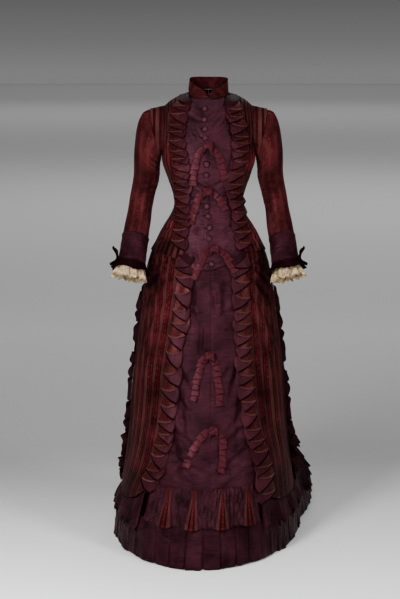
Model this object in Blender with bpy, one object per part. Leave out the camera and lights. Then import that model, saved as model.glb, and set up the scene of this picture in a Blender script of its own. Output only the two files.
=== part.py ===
"""Silk wedding dress of about 1880, in wine stripes and plain plum, standing as worn with nobody in it.

Metres, +Z up. The front faces -Y and +X is on the right of someone who looks at the front.
The origin is at the middle of the neck seam, where the wearer's neck carries the dress.
Every panel lies on one form: rings round the body, looked up by height above the floor.
"""

import math

import bmesh
import bpy
import numpy as np

# Driving sizes
NECK_HEIGHT = 1.330
CLOTH = 0.0020
THIN_CLOTH = 0.0014
LACE_CLOTH = 0.0010
SEAM = 0.0003
BODICE_OUT = 0.0035
TRIM_LIFT = 0.0015
SHOULDER_LIFT = 0.0015
SKIRT_TRIM_LIFT = 0.0009
FLOUNCE_CLOTH = 0.0018

# The form: half width, front and back reach and widest line at each height, then how far
# the front leans and the train sweeps sideways
FORM = (
    # height, half_width, front_y, back_y, centre_y, lean, sweep
    (0.000, 0.279, -0.292, 0.975, 0.232, -0.025, 0.200),
    (0.060, 0.276, -0.281, 0.880, 0.216, -0.023, 0.180),
    (0.118, 0.270, -0.268, 0.785, 0.198, -0.021, 0.155),
    (0.158, 0.264, -0.258, 0.710, 0.182, -0.018, 0.135),
    (0.257, 0.250, -0.233, 0.545, 0.146, -0.010, 0.085),
    (0.355, 0.239, -0.207, 0.410, 0.112, -0.004, 0.045),
    (0.450, 0.231, -0.184, 0.310, 0.084, 0.000, 0.018),
    (0.549, 0.220, -0.163, 0.245, 0.062, 0.000, 0.005),
    (0.645, 0.208, -0.148, 0.215, 0.045, 0.000, 0.000),
    (0.717, 0.198, -0.138, 0.192, 0.033, 0.000, 0.000),
    (0.789, 0.189, -0.129, 0.172, 0.023, 0.000, 0.000),
    (0.836, 0.180, -0.121, 0.150, 0.016, 0.000, 0.000),
    (0.884, 0.1655, -0.113, 0.130, 0.010, 0.000, 0.000),
    (0.919, 0.148, -0.104, 0.112, 0.005, 0.000, 0.000),
    (0.955, 0.129, -0.0945, 0.095, 0.002, 0.000, 0.000),
    (0.990, 0.107, -0.0875, 0.080, 0.000, 0.000, 0.000),
    (1.0135, 0.0975, -0.085, 0.075, 0.000, 0.000, 0.000),
    (1.040, 0.0985, -0.086, 0.075, 0.000, 0.000, 0.000),
    (1.070, 0.1065, -0.090, 0.078, 0.000, 0.000, 0.000),
    (1.107, 0.1200, -0.100, 0.082, 0.000, 0.000, 0.000),
    (1.140, 0.1310, -0.110, 0.086, 0.000, 0.000, 0.000),
    (1.180, 0.1335, -0.112, 0.089, 0.001, 0.000, 0.000),
    (1.220, 0.1340, -0.105, 0.091, 0.003, 0.000, 0.000),
    (1.255, 0.1330, -0.094, 0.092, 0.005, 0.000, 0.000),
    (1.290, 0.1310, -0.081, 0.088, 0.006, 0.000, 0.000),
)

# Above the yoke the rings draw in to the neck, and a level is a place on that slope
YOKE_LEVEL = 1.290
NECK_LEVEL = 1.345
NECK_HALF_WIDTH = 0.057
NECK_HALF_DEPTH = 0.057
NECK_CENTRE_Y = 0.004
NECK_SIDE_HEIGHT = 1.337
NECK_TILT = 0.013
SLOPE_POWER = 1.5

# Soft folds that run down the back of the skirt into the train
BACK_FOLDS = 14
BACK_FOLD_START = math.radians(100)
BACK_FOLD_EASE = math.radians(20)
BACK_FOLD_DEPTHS = (
    # height, share of the reach
    (0.000, 0.020),
    (0.250, 0.034),
    (0.600, 0.030),
    (0.850, 0.008),
    (0.950, 0.000),
    (1.345, 0.000),
)

# Armhole, an oval on the form, and the seams
ARMHOLE_LEVEL = 1.2345
ARMHOLE_HALF_HEIGHT = 0.0690
ARMHOLE_HALF_ANGLE = math.radians(21)
ARMHOLE_STEPS = 7
CLOSURE_ANGLE = math.radians(-2)
COLLAR_GAP_TURN = math.radians(1.2)
COLLAR_NOTCH = 0.007
COLLAR_NOTCH_TURN = math.radians(48)
COLLAR_HEIGHT = 0.043
COLLAR_BACK_DROP = 0.007
COLLAR_TAPER = 0.05
SIDE_SEAM = math.radians(90)

# Where the plum front meets the striped sides
VEST_EDGE = (
    # level, left_x, right_x
    (0.840, -0.070, 0.100),
    (0.890, -0.066, 0.094),
    (0.940, -0.062, 0.084),
    (0.990, -0.059, 0.068),
    (1.060, -0.057, 0.056),
    (1.120, -0.062, 0.062),
    (1.200, -0.068, 0.070),
    (1.290, -0.064, 0.064),
    (1.345, -0.036, 0.036),
)
VEST_POINT_LEVEL = 0.838
VEST_RISE = 0.052
VEST_RISE_POWER = 1.7
VEST_LEFT_REACH = 0.068
VEST_RIGHT_REACH = 0.100
BASQUE_SIDE_LEVEL = 0.886
BASQUE_BACK_LEVEL = 0.872
WAIST_LEVELS = [0.950, 0.982, 1.008, 1.034, 1.070, 1.105, 1.138]
YOKE_LEVELS = [1.319, 1.333, 1.345]

SKIRT_TOP_LEVEL = 0.990
LEVEL_OUT_BELOW = 0.800
FRONT_PANEL_LEVEL = 0.222
FLOUNCE_LEVEL = 0.118
SIDE_PANEL_LEVEL = 0.136
SIDE_CORNER_RISE = 0.060
SKIRT_MIDDLE_LEVELS = [0.280, 0.350, 0.430, 0.520, 0.610, 0.700, 0.780, 0.850, 0.920]
SKIRT_LEVELS = [FRONT_PANEL_LEVEL, *SKIRT_MIDDLE_LEVELS, SKIRT_TOP_LEVEL]
SKIRT_EDGE = (
    # level, left_x, right_x
    (0.110, -0.215, 0.168),
    (0.185, -0.190, 0.166),
    (0.232, -0.163, 0.162),
    (0.290, -0.142, 0.152),
    (0.355, -0.126, 0.130),
    (0.450, -0.111, 0.113),
    (0.540, -0.106, 0.105),
    (0.650, -0.089, 0.098),
    (0.750, -0.076, 0.094),
    (0.880, -0.066, 0.090),
    (0.990, -0.058, 0.070),
)

# Trims that run down the front: the line of their middle
BODICE_FRILL_LINE = (
    # level, left_x, right_x
    (0.888, -0.083, 0.103),
    (0.940, -0.079, 0.093),
    (1.037, -0.071, 0.077),
    (1.100, -0.073, 0.070),
    (1.163, -0.080, 0.088),
    (1.236, -0.089, 0.085),
    (1.290, -0.080, 0.071),
    (1.330, -0.066, 0.063),
)
BODICE_FRILL_WAVES = 9
BODICE_FRILL_HALF_WIDTH = 0.017
SKIRT_FRILL_WAVES = 10
SKIRT_FRILL_HALF_WIDTH = 0.021
FRILL_RISE = 0.0045
FRILL_SWING = 0.35
FRILL_NARROWING = 0.12
FRILL_LAG = 1.3
SHOULDER_LIFT_LEVEL = 1.250
SIDE_RUFFLE_WAVES = 11
SIDE_RUFFLE_LEVELS = (0.145, 0.780)
SIDE_RUFFLE_REACH = 0.011
SIDE_RUFFLE_SWING = 0.030
RUFFLE_SEAT = 0.0016

FLOUNCE_PLEAT = 0.050
FLOUNCE_PLEAT_DEPTH = 0.0055
FLOUNCE_SEAT = 0.0008
FLOUNCE_CORNERS = [math.radians(turn) for turn in (-62, 62, 128, 232, 298)]
SHIRR_SPAN = math.radians(112)
SHIRR_WAVES = 20
SHIRR_DEPTH = 0.0014
SHIRR_TUCK = 0.0060
TUCK_START = 0.16
TUCK_END = 0.04

BUTTON_RADIUS = 0.0080
BUTTON_HEIGHT = 0.0042
BUTTON_SEAT = 0.00055
BUTTON_SIDES = 10
BUTTON_OUTLINE = ((1.0, 0.0), (1.0, 0.35), (0.70, 0.82))
BUTTONS = (
    # level, x
    (1.2990, -0.0110),
    (1.2670, -0.0120),
    (1.2410, -0.0105),
    (1.2165, -0.0100),
    (1.1430, -0.0060),
    (1.1120, -0.0065),
    (1.0200, -0.0050),
    (0.9910, -0.0015),
    (0.9575, 0.0025),
    (0.9270, 0.0010),
    (0.8560, 0.0080),
)

RIBBON_HALF_WIDTH = 0.0100
RIBBON_PINCH = 0.55
RIBBON_LIFT = 0.0021
RIBBON_ARCH = 0.0012
KNOT_HALF_WIDTH = 0.0125
KNOT_HALF_HEIGHT = 0.0085
KNOT_HALF_DEPTH = 0.0055
# Each bow: where its ribbon ends and bends, from the left tail over the knot to the right tail
BOWS = (
    # name, knot level, knot_x, left tail (level, x), right tail (level, x)
    ("chest", 1.1950, -0.002, ((1.172, -0.026), (1.138, -0.038), (1.082, -0.044)),
     ((1.168, 0.025), (1.137, 0.036), (1.100, 0.043))),
    ("waist", 1.0660, -0.002, ((1.046, -0.024), (1.018, -0.036), (0.966, -0.048)),
     ((1.050, 0.020), (1.034, 0.033), (1.008, 0.046))),
    ("hip", 0.9000, 0.015, ((0.884, -0.008), (0.856, -0.024), (0.812, -0.041)),
     ((0.884, 0.040), (0.858, 0.060), (0.818, 0.082))),
    ("skirt", 0.5970, 0.003, ((0.574, -0.018), (0.530, -0.032), (0.466, -0.044)),
     ((0.570, 0.018), (0.528, 0.026), (0.452, 0.031))),
    ("hem", 0.3870, 0.013, ((0.366, -0.018), (0.330, -0.044), (0.280, -0.067)),
     ((0.366, 0.034), (0.330, 0.040), (0.265, 0.034))),
)

# Right sleeve: outer and inner edge of each ring, its place in depth and half its depth
SLEEVE = (
    # outer_x, outer_height, inner_x, inner_height, y, half_depth
    (0.168, 1.303, 0.1395, 1.150, 0.003, 0.044),
    (0.192, 1.283, 0.1415, 1.137, 0.004, 0.046),
    (0.207, 1.247, 0.1430, 1.124, 0.006, 0.047),
    (0.2155, 1.180, 0.1440, 1.104, 0.010, 0.047),
    (0.2190, 1.110, 0.1470, 1.085, 0.013, 0.046),
    (0.2275, 1.055, 0.1570, 1.048, 0.010, 0.043),
    (0.2350, 1.012, 0.1650, 1.005, -0.008, 0.040),
    (0.2435, 0.968, 0.1710, 0.955, -0.035, 0.038),
    (0.2505, 0.930, 0.1770, 0.916, -0.060, 0.037),
    (0.2560, 0.896, 0.1810, 0.880, -0.078, 0.037),
    (0.2610, 0.862, 0.1840, 0.846, -0.092, 0.038),
    (0.2660, 0.836, 0.1870, 0.820, -0.102, 0.039),
    (0.2700, 0.812, 0.1890, 0.796, -0.110, 0.040),
)
SLEEVE_END_ROW = 9.0
SLEEVE_SEAM_STEP = 4
SLEEVE_SEAM_TURN = 0.0035
CUFF_END_ROW = 11.0
CUFF_FRILL_END_ROW = 11.8
LACE_START_ROW = 10.9
LACE_TUCK = -0.0020
LACE_END_ROW = 12.6
CUFF_OUT = 0.0012
CUFF_FRILL_SEAT = 0.0004
CUFF_FRILL_WAVES = 9
CUFF_FRILL_SPREAD = 0.0120
CUFF_FRILL_WAVE_DEPTH = 0.0045
LACE_WAVES = 9
LACE_SPREAD = 0.0040
LACE_WAVE_DEPTH = 0.0035
CUFF_BOW_SEAT = 0.0008
CUFF_BOW_ROW = 10.3
CUFF_BOW_HALF_LENGTH = 0.45
CUFF_BOW_HALF_TURN = 0.9
CUFF_BOW_PINCH = 0.55
CUFF_BOW_FLARE = 0.0110

COLOURS = {
    # slot: (red, green, blue), roughness
    "plum_silk": ((0.060, 0.018, 0.030), 0.50),
    "striped_silk": ((0.060, 0.008, 0.010), 0.45),
    "figured_silk": ((0.090, 0.012, 0.012), 0.50),
    "ribbon": ((0.110, 0.022, 0.030), 0.45),
    "lace": ((0.560, 0.470, 0.330), 0.80),
    "covered_button": ((0.050, 0.016, 0.026), 0.45),
}


def profile(rows):
    """A smooth curve through the rows of a table, which gives every column at any value of the first."""
    table = np.array(sorted(rows), dtype=float)
    places, values = table[:, 0], table[:, 1:]
    slopes = np.gradient(values, places, axis=0)

    def at(place):
        place = min(max(place, places[0]), places[-1])
        low = min(int(np.searchsorted(places, place, side="right")) - 1, len(places) - 2)
        span = places[low + 1] - places[low]
        part = (place - places[low]) / span
        rise = part * part * (3 - 2 * part)
        leaving = slopes[low] * span * part * (1 - part) ** 2
        arriving = slopes[low + 1] * span * part * part * (1 - part)
        return values[low] + (values[low + 1] - values[low]) * rise + leaving - arriving

    return at


form_row = profile(FORM)
fold_depth = profile(BACK_FOLD_DEPTHS)
vest_edge = profile(VEST_EDGE)
skirt_edge = profile(SKIRT_EDGE)
bodice_frill_line = profile(BODICE_FRILL_LINE)


def eased(value, start, end):
    """0 before start and 1 after end, with a soft change between."""
    part = min(max((value - start) / (end - start), 0.0), 1.0)
    return part * part * (3 - 2 * part)


def back_fold(angle, level):
    """Share by which the back of the skirt stands out or in at this angle."""
    turn = abs(math.remainder(angle, 2 * math.pi))
    behind = eased(turn, BACK_FOLD_START, BACK_FOLD_START + BACK_FOLD_EASE)
    return fold_depth(level)[0] * behind * math.cos(BACK_FOLDS * turn)


def ring_point(angle, level):
    """A point of the form's ring at a height, where angle 0 is the front and a quarter turn is +X."""
    half_width, front_y, back_y, centre_y, lean, sweep = form_row(level)
    side, ahead = math.sin(angle), math.cos(angle)
    reach = centre_y - front_y if ahead > 0 else back_y - centre_y
    shift = lean * ahead if ahead > 0 else -sweep * ahead
    swell = 1 + back_fold(angle, level)
    return np.array([
        half_width * side * swell + shift,
        centre_y - reach * ahead * swell,
        level - NECK_HEIGHT,
    ])


def neck_point(angle):
    """A point of the neck seam."""
    side, ahead = math.sin(angle), math.cos(angle)
    return np.array([
        NECK_HALF_WIDTH * side,
        NECK_CENTRE_Y - NECK_HALF_DEPTH * ahead,
        NECK_SIDE_HEIGHT - NECK_TILT * ahead - NECK_HEIGHT,
    ])


def form_point(angle, level):
    if level <= YOKE_LEVEL:
        return ring_point(angle, level)
    share = (level - YOKE_LEVEL) / (NECK_LEVEL - YOKE_LEVEL)
    low, top = ring_point(angle, YOKE_LEVEL), neck_point(angle)
    inward = share ** SLOPE_POWER
    rise = 1 - (1 - share) ** SLOPE_POWER
    return low + (top - low) * np.array([inward, inward, rise])


def unit(vector):
    return vector / np.linalg.norm(vector)


def form_normal(angle, level):
    step = 0.002
    low, high = level - step, min(level + step, NECK_LEVEL)
    around = form_point(angle + step, level) - form_point(angle - step, level)
    return unit(np.cross(around, form_point(angle, high) - form_point(angle, max(low, 0.0))))


def out_direction(angle, level):
    """The form's normal on the body, turning level below the hips so that seams meet face to face."""
    normal = form_normal(angle, level)
    normal[2] *= eased(level, LEVEL_OUT_BELOW, SKIRT_TOP_LEVEL)
    return unit(normal)


def surface(angle, level, out=0.0):
    """A point that lies out from the form."""
    if out == 0.0:
        return form_point(angle, level)
    return form_point(angle, level) + out_direction(angle, level) * out


def angle_at(x, level):
    """The angle on the front half of the form where its surface crosses x."""
    half_width = form_point(math.pi / 2, level)[0]
    lean = form_row(min(level, YOKE_LEVEL))[4]
    angle = 0.0
    for _ in range(5):
        share = (x - lean * math.cos(angle)) / half_width
        angle = math.asin(min(max(share, -1.0), 1.0))
    return angle


def material(slot):
    found = bpy.data.materials.get(slot)
    if found:
        return found
    colour, roughness = COLOURS[slot]
    made = bpy.data.materials.new(slot)
    made.use_nodes = True
    shader = made.node_tree.nodes["Principled BSDF"]
    shader.inputs["Base Color"].default_value = (*colour, 1.0)
    shader.inputs["Roughness"].default_value = roughness
    return made


def add_object(name, vertices, faces, slot):
    mesh = bpy.data.meshes.new(name)
    mesh.from_pydata([tuple(v) for v in vertices], [], faces)
    shape = bmesh.new()
    shape.from_mesh(mesh)
    bmesh.ops.triangulate(shape, faces=shape.faces)
    bmesh.ops.recalc_face_normals(shape, faces=shape.faces)
    shape.to_mesh(mesh)
    shape.free()
    mesh.shade_smooth()
    mesh.set_sharp_from_angle(angle=math.radians(50))
    mesh.materials.append(material(slot))
    made = bpy.data.objects.new(name, mesh)
    bpy.context.scene.collection.objects.link(made)
    return made


def grid_normals(grid, closed):
    """Outward normals of a grid whose rows run up and whose columns run to the right."""
    if closed:
        across = np.roll(grid, -1, axis=1) - np.roll(grid, 1, axis=1)
    else:
        across = np.gradient(grid, axis=1)
    along = np.gradient(grid, axis=0)
    normals = np.cross(across, along)
    return normals / np.linalg.norm(normals, axis=2, keepdims=True)


def cloth_wall(name, grid, thickness, slot, closed=False, inner=None):
    """A wall of cloth whose outer face goes through the grid, joined to itself sideways when closed."""
    grid = np.array(grid)
    rows, columns = grid.shape[:2]
    if inner is None:
        inner = grid - grid_normals(grid, closed) * thickness
    inner = np.array(inner)
    vertices = np.concatenate([grid.reshape(-1, 3), inner.reshape(-1, 3)])
    under = rows * columns
    last = columns if closed else columns - 1
    faces = []
    for row in range(rows - 1):
        for column in range(last):
            after = (column + 1) % columns
            a, b = row * columns + column, row * columns + after
            c, d = b + columns, a + columns
            faces.append((a, b, c, d))
            faces.append((d + under, c + under, b + under, a + under))
    for column in range(last):
        after = (column + 1) % columns
        faces.append((column, column + under, after + under, after))
        top = (rows - 1) * columns
        faces.append((top + after, top + after + under, top + column + under, top + column))
    if not closed:
        for row in range(rows - 1):
            a, d = row * columns, (row + 1) * columns
            faces.append((a, d, d + under, a + under))
            b, c = a + columns - 1, d + columns - 1
            faces.append((b, b + under, c + under, c))
    return add_object(name, vertices, faces, slot)


def mirrored(grid):
    """The same grid on the other side of the body, still with its outer face outwards."""
    return np.array(grid)[:, ::-1] * np.array([-1.0, 1.0, 1.0])


def steps(start, end, count):
    return np.linspace(start, end, count)


def panel(levels, left, right, out, columns):
    """Rows of points between two edge angles. A level is a number or a function of the share across."""
    grid = []
    for level in levels:
        row = []
        for share in steps(0, 1, columns):
            here = level(share) if callable(level) else level
            angle = left(here) + (right(here) - left(here)) * share
            row.append(surface(angle, here, out))
        grid.append(row)
    return grid


def panel_wall(name, levels, left, right, out, columns, slot):
    """A panel of the main cloth, both of whose faces follow the form."""
    outer = panel(levels, left, right, out, columns)
    inner = panel(levels, left, right, out - CLOTH, columns)
    return cloth_wall(name, outer, CLOTH, slot, inner=inner)


def seam_angle(level):
    """Half of the seam's gap, as an angle at this level."""
    return 0.5 * SEAM / form_point(math.pi / 2, level)[0]


def armhole_turn(level):
    """How far the armhole cuts back from the side seam at this level."""
    share = (level - ARMHOLE_LEVEL) / ARMHOLE_HALF_HEIGHT
    return ARMHOLE_HALF_ANGLE * math.sqrt(max(1 - share * share, 0.0))


def armhole_levels():
    """Levels down the armhole, closer together at its ends."""
    turns = steps(0, math.pi, ARMHOLE_STEPS + 1)
    return [ARMHOLE_LEVEL - ARMHOLE_HALF_HEIGHT * math.cos(turn) for turn in turns]


def bodice_levels(bottom):
    """Levels up the bodice, closer together at the waist and over the shoulder."""
    def between(part):
        return lambda share: bottom(share) + (WAIST_LEVELS[0] - bottom(share)) * part

    return [bottom, between(1 / 3), between(2 / 3), *WAIST_LEVELS, *armhole_levels(), *YOKE_LEVELS]


def vest_bottom_at(x):
    return VEST_POINT_LEVEL + VEST_RISE * (abs(x) / VEST_RIGHT_REACH) ** VEST_RISE_POWER


def build_vest():
    """The plain plum front, closed at the middle with buttons."""
    def left_edge(level):
        return angle_at(vest_edge(level)[0], level) + seam_angle(level)

    def right_edge(level):
        return angle_at(vest_edge(level)[1], level) - seam_angle(level)

    def closure_left(level):
        return CLOSURE_ANGLE - seam_angle(level)

    def closure_right(level):
        return CLOSURE_ANGLE + seam_angle(level)

    def left_bottom(share):
        return vest_bottom_at(VEST_LEFT_REACH * (1 - share))

    def right_bottom(share):
        return vest_bottom_at(VEST_RIGHT_REACH * share)

    for name, left, right, bottom in (
        ("vest_left", left_edge, closure_left, left_bottom),
        ("vest_right", closure_right, right_edge, right_bottom),
    ):
        panel_wall(name, bodice_levels(bottom), left, right, BODICE_OUT, 5, "plum_silk")


def build_bodice_fronts():
    def left_outer(level):
        return -SIDE_SEAM + armhole_turn(level) + seam_angle(level)

    def left_inner(level):
        return angle_at(vest_edge(level)[0], level) - seam_angle(level)

    def right_inner(level):
        return angle_at(vest_edge(level)[1], level) + seam_angle(level)

    def right_outer(level):
        return SIDE_SEAM - armhole_turn(level) - seam_angle(level)

    left_end, right_end = vest_bottom_at(VEST_LEFT_REACH), vest_bottom_at(VEST_RIGHT_REACH)

    def left_bottom(share):
        return BASQUE_SIDE_LEVEL + (left_end - BASQUE_SIDE_LEVEL) * share ** 2

    def right_bottom(share):
        return BASQUE_SIDE_LEVEL + (right_end - BASQUE_SIDE_LEVEL) * (1 - share) ** 2

    for name, left, right, bottom in (
        ("bodice_front_left", left_outer, left_inner, left_bottom),
        ("bodice_front_right", right_inner, right_outer, right_bottom),
    ):
        panel_wall(name, bodice_levels(bottom), left, right, BODICE_OUT, 7, "striped_silk")


def build_bodice_backs():
    def right_outer(level):
        return SIDE_SEAM + armhole_turn(level) + seam_angle(level)

    def right_middle(level):
        return math.pi - seam_angle(level)

    def bottom(share):
        return BASQUE_SIDE_LEVEL + (BASQUE_BACK_LEVEL - BASQUE_SIDE_LEVEL) * share

    def left_middle(level):
        return math.pi + seam_angle(level)

    def left_outer(level):
        return 2 * math.pi - right_outer(level)

    levels = bodice_levels(bottom)
    panel_wall("bodice_back_right", levels, right_outer, right_middle, BODICE_OUT, 8, "striped_silk")
    levels = bodice_levels(lambda share: bottom(1 - share))
    panel_wall("bodice_back_left", levels, left_middle, left_outer, BODICE_OUT, 8, "striped_silk")


def collar_height(turn):
    """Height of the stand collar at this turn from its front notch."""
    rise = math.sin(min(turn / COLLAR_NOTCH_TURN, 1.0) * math.pi / 2)
    drop = COLLAR_BACK_DROP * eased(turn, math.pi / 2, math.pi)
    return COLLAR_NOTCH + (COLLAR_HEIGHT - COLLAR_NOTCH) * rise - drop


def build_collar():
    grid = []
    for share in steps(0, 1, 3):
        row = []
        for turn in steps(COLLAR_GAP_TURN, 2 * math.pi - COLLAR_GAP_TURN, 27):
            angle = CLOSURE_ANGLE + turn
            base = surface(angle, NECK_LEVEL, BODICE_OUT + SEAM)
            height = collar_height(min(turn, 2 * math.pi - turn))
            shrink = 1 - COLLAR_TAPER * share
            row.append([base[0] * shrink, base[1] * shrink, base[2] + height * share])
        grid.append(row)
    cloth_wall("collar", grid, CLOTH, "figured_silk")


def armhole_ring(turns, out):
    """Where the sleeve's edge sits, just inside the bodice's armhole."""
    fit = 1 - 2 * SEAM / ARMHOLE_HALF_HEIGHT
    ring = []
    for turn in turns:
        level = ARMHOLE_LEVEL + ARMHOLE_HALF_HEIGHT * fit * math.cos(turn)
        angle = SIDE_SEAM - ARMHOLE_HALF_ANGLE * fit * math.sin(turn)
        ring.append(surface(angle, level, BODICE_OUT + out))
    return ring


def sleeve_centre(row):
    outer_x, outer_height, inner_x, inner_height, y, _ = row
    return np.array([(outer_x + inner_x) / 2, y, (outer_height + inner_height) / 2 - NECK_HEIGHT])


sleeve_row = profile([(number, *row) for number, row in enumerate(SLEEVE, start=1)])


def sleeve_point(turn, place, out=0.0):
    """A point on the right sleeve. Place counts rows of the table and turn starts at the outer edge."""
    row = sleeve_row(place)
    ahead, behind = sleeve_row(place + 0.4), sleeve_row(place - 0.4)
    along = unit(sleeve_centre(ahead) - sleeve_centre(behind))
    centre = sleeve_centre(row)
    outer = np.array([row[0], row[4], row[1] - NECK_HEIGHT])
    wide = outer - centre
    front = unit(np.cross(along, wide))
    if front[1] > 0:
        front = -front
    half = np.linalg.norm(wide)
    across = wide * (1 + out / half)
    return centre + across * math.cos(turn) + front * (row[5] + out) * math.sin(turn)


def tube(places, columns, out):
    """Rows of points round the right sleeve, lowest row first. Out is a function of turn and place."""
    grid = []
    for place in places:
        turns = steps(0, 2 * math.pi, columns + 1)[:-1]
        grid.append([sleeve_point(turn, place, out(turn, place)) for turn in turns])
    return grid


def build_pair(name, grid, thickness, slot):
    """The right one from its grid, whose columns run round by the front, and its mirror image."""
    right = np.array(grid)[:, ::-1]
    cloth_wall(name + "_right", right, thickness, slot, closed=True)
    cloth_wall(name + "_left", mirrored(right), thickness, slot, closed=True)


def build_sleeves():
    """Each sleeve in its two cut pieces, the top one on the outer side and the under one by the body."""
    places = [SLEEVE_END_ROW, 8.2, 7.4, 6.6, 5.8, 5.0, 4.0, 3.1, 2.2, 1.4]
    seam = SLEEVE_SEAM_STEP * math.pi / ARMHOLE_STEPS
    top_facets = 2 * SLEEVE_SEAM_STEP
    for name, middle, half_turn, facets in (
        ("sleeve_top", 0.0, seam, top_facets),
        ("sleeve_under", math.pi, math.pi - seam, 2 * ARMHOLE_STEPS - top_facets),
    ):
        turns = steps(middle - half_turn, middle + half_turn, facets + 1)
        turns[0] += SLEEVE_SEAM_TURN
        turns[-1] -= SLEEVE_SEAM_TURN
        faces = []
        for out in (0.0, -CLOTH):
            grid = [[sleeve_point(turn, place, out) for turn in turns] for place in places]
            faces.append(np.array([*grid, armhole_ring(turns, out)])[:, ::-1])
        outer, inner = faces
        cloth_wall(name + "_right", outer, CLOTH, "striped_silk", inner=inner)
        cloth_wall(name + "_left", mirrored(outer), CLOTH, "striped_silk", inner=mirrored(inner))


def build_cuffs():
    start = SLEEVE_END_ROW + 0.02
    places = [CUFF_END_ROW, 10.3, 9.6, start]
    grid = tube(places, 16, lambda turn, place: CUFF_OUT)
    build_pair("cuff", grid, CLOTH, "plum_silk")

    def frill_out(turn, place):
        spread = (place - CUFF_END_ROW) / (CUFF_FRILL_END_ROW - CUFF_END_ROW)
        wave = CUFF_FRILL_WAVE_DEPTH * math.cos(CUFF_FRILL_WAVES * turn)
        return CUFF_OUT + CUFF_FRILL_SEAT + (CUFF_FRILL_SPREAD + wave) * spread

    places = [CUFF_FRILL_END_ROW, CUFF_END_ROW + 0.02]
    grid = tube(places, 4 * CUFF_FRILL_WAVES, frill_out)
    build_pair("cuff_frill", grid, THIN_CLOTH, "plum_silk")

    def lace_out(turn, place):
        spread = (place - LACE_START_ROW) / (LACE_END_ROW - LACE_START_ROW)
        return LACE_TUCK + (LACE_SPREAD + LACE_WAVE_DEPTH * math.cos(LACE_WAVES * turn)) * spread ** 2

    places = [LACE_END_ROW, 11.8, LACE_START_ROW]
    grid = tube(places, 4 * LACE_WAVES, lace_out)
    build_pair("lace", grid, LACE_CLOTH, "lace")


def build_cuff_bows():
    """A flat ribbon bow on the outer side of each cuff, its two ends standing away as points."""
    grid = []
    for offset in steps(CUFF_BOW_HALF_LENGTH, -CUFF_BOW_HALF_LENGTH, 4):
        row = []
        for share in steps(-1, 1, 9):
            pinch = 1 - CUFF_BOW_PINCH * (1 - abs(share)) ** 2
            lift = CUFF_OUT + CUFF_BOW_SEAT + THIN_CLOTH + CUFF_BOW_FLARE * share ** 2
            row.append(sleeve_point(CUFF_BOW_HALF_TURN * share, CUFF_BOW_ROW + offset * pinch, lift))
        grid.append(row)
    right = np.array(grid)[:, ::-1]
    cloth_wall("cuff_bow_right", right, THIN_CLOTH, "plum_silk")
    cloth_wall("cuff_bow_left", mirrored(right), THIN_CLOTH, "plum_silk")


def build_skirt():
    def edge(column, sign):
        def at(level):
            return angle_at(skirt_edge(level)[column], level) + sign * seam_angle(level)
        return at

    def left_side(level):
        return -SIDE_SEAM + seam_angle(level)

    def right_side(level):
        return SIDE_SEAM - seam_angle(level)

    panel_wall("skirt_front", SKIRT_LEVELS, edge(0, 1), edge(1, -1), 0.0, 9, "plum_silk")

    def corner(distance):
        return SIDE_PANEL_LEVEL + SIDE_CORNER_RISE * (1 - distance) ** 5

    def side_levels(bottom):
        return [bottom, lambda share: (bottom(share) + FRONT_PANEL_LEVEL) / 2, *SKIRT_LEVELS]

    levels = side_levels(lambda share: corner(1 - share))
    panel_wall("skirt_side_left", levels, left_side, edge(0, -1), 0.0, 9, "striped_silk")
    panel_wall("skirt_side_right", side_levels(corner), edge(1, 1), right_side, 0.0, 9, "striped_silk")

    middle_level = (SIDE_PANEL_LEVEL + FRONT_PANEL_LEVEL) / 2
    back_levels = [FLOUNCE_LEVEL, SIDE_PANEL_LEVEL, middle_level, *SKIRT_LEVELS]

    def between(start, end):
        return lambda level: start + seam_angle(level), lambda level: end - seam_angle(level)

    right_edges = between(SIDE_SEAM, math.pi)
    left_edges = between(math.pi, 2 * math.pi - SIDE_SEAM)
    panel_wall("skirt_back_right", back_levels, *right_edges, 0.0, 14, "striped_silk")
    panel_wall("skirt_back_left", back_levels, *left_edges, 0.0, 14, "striped_silk")


def length_angles(level, start, end, count):
    """Angles that part the form's ring into equal lengths between two angles."""
    fine = steps(start, end, 400)
    points = np.array([form_point(angle, level) for angle in fine])
    lengths = np.concatenate([[0], np.cumsum(np.linalg.norm(np.diff(points, axis=0), axis=1))])
    return np.interp(steps(0, lengths[-1], count), lengths, fine), lengths[-1]


def hung_wall(name, spots, thickness):
    """A flounce from rows of (angle, level, out), both of whose faces are set out from the form."""
    outer = [[surface(*spot) for spot in row] for row in spots]
    inner = [[surface(angle, level, out - thickness) for angle, level, out in row] for row in spots]
    return cloth_wall(name, outer, thickness, "plum_silk", inner=inner)


def build_flounces():
    """The box-pleated flounce round the hem, in four lengths."""
    names = ("hem_flounce_front", "hem_flounce_right", "hem_flounce_back", "hem_flounce_left")
    rises = (0.0, 1.0, 1.0, 0.0)
    for name, start, end in zip(names, FLOUNCE_CORNERS, FLOUNCE_CORNERS[1:]):
        gap = seam_angle(0.0)
        _, length = length_angles(0.0, start, end, 2)
        pleats = round(length / FLOUNCE_PLEAT)
        angles, _ = length_angles(0.0, start + gap, end - gap, 12 * pleats + 1)
        grid = []
        for level in (0.0, FLOUNCE_LEVEL / 2, FLOUNCE_LEVEL - SEAM):
            deep = FLOUNCE_PLEAT_DEPTH * (1.4 - 0.9 * level / FLOUNCE_LEVEL)
            row = []
            for pleat in range(pleats):
                for place, rise in zip((0, 1, 11, 12), rises):
                    if place < 12 or pleat == pleats - 1:
                        row.append((angles[12 * pleat + place], level, FLOUNCE_SEAT + deep * rise))
            grid.append(row)
        hung_wall(name, grid, FLOUNCE_CLOTH)



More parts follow.
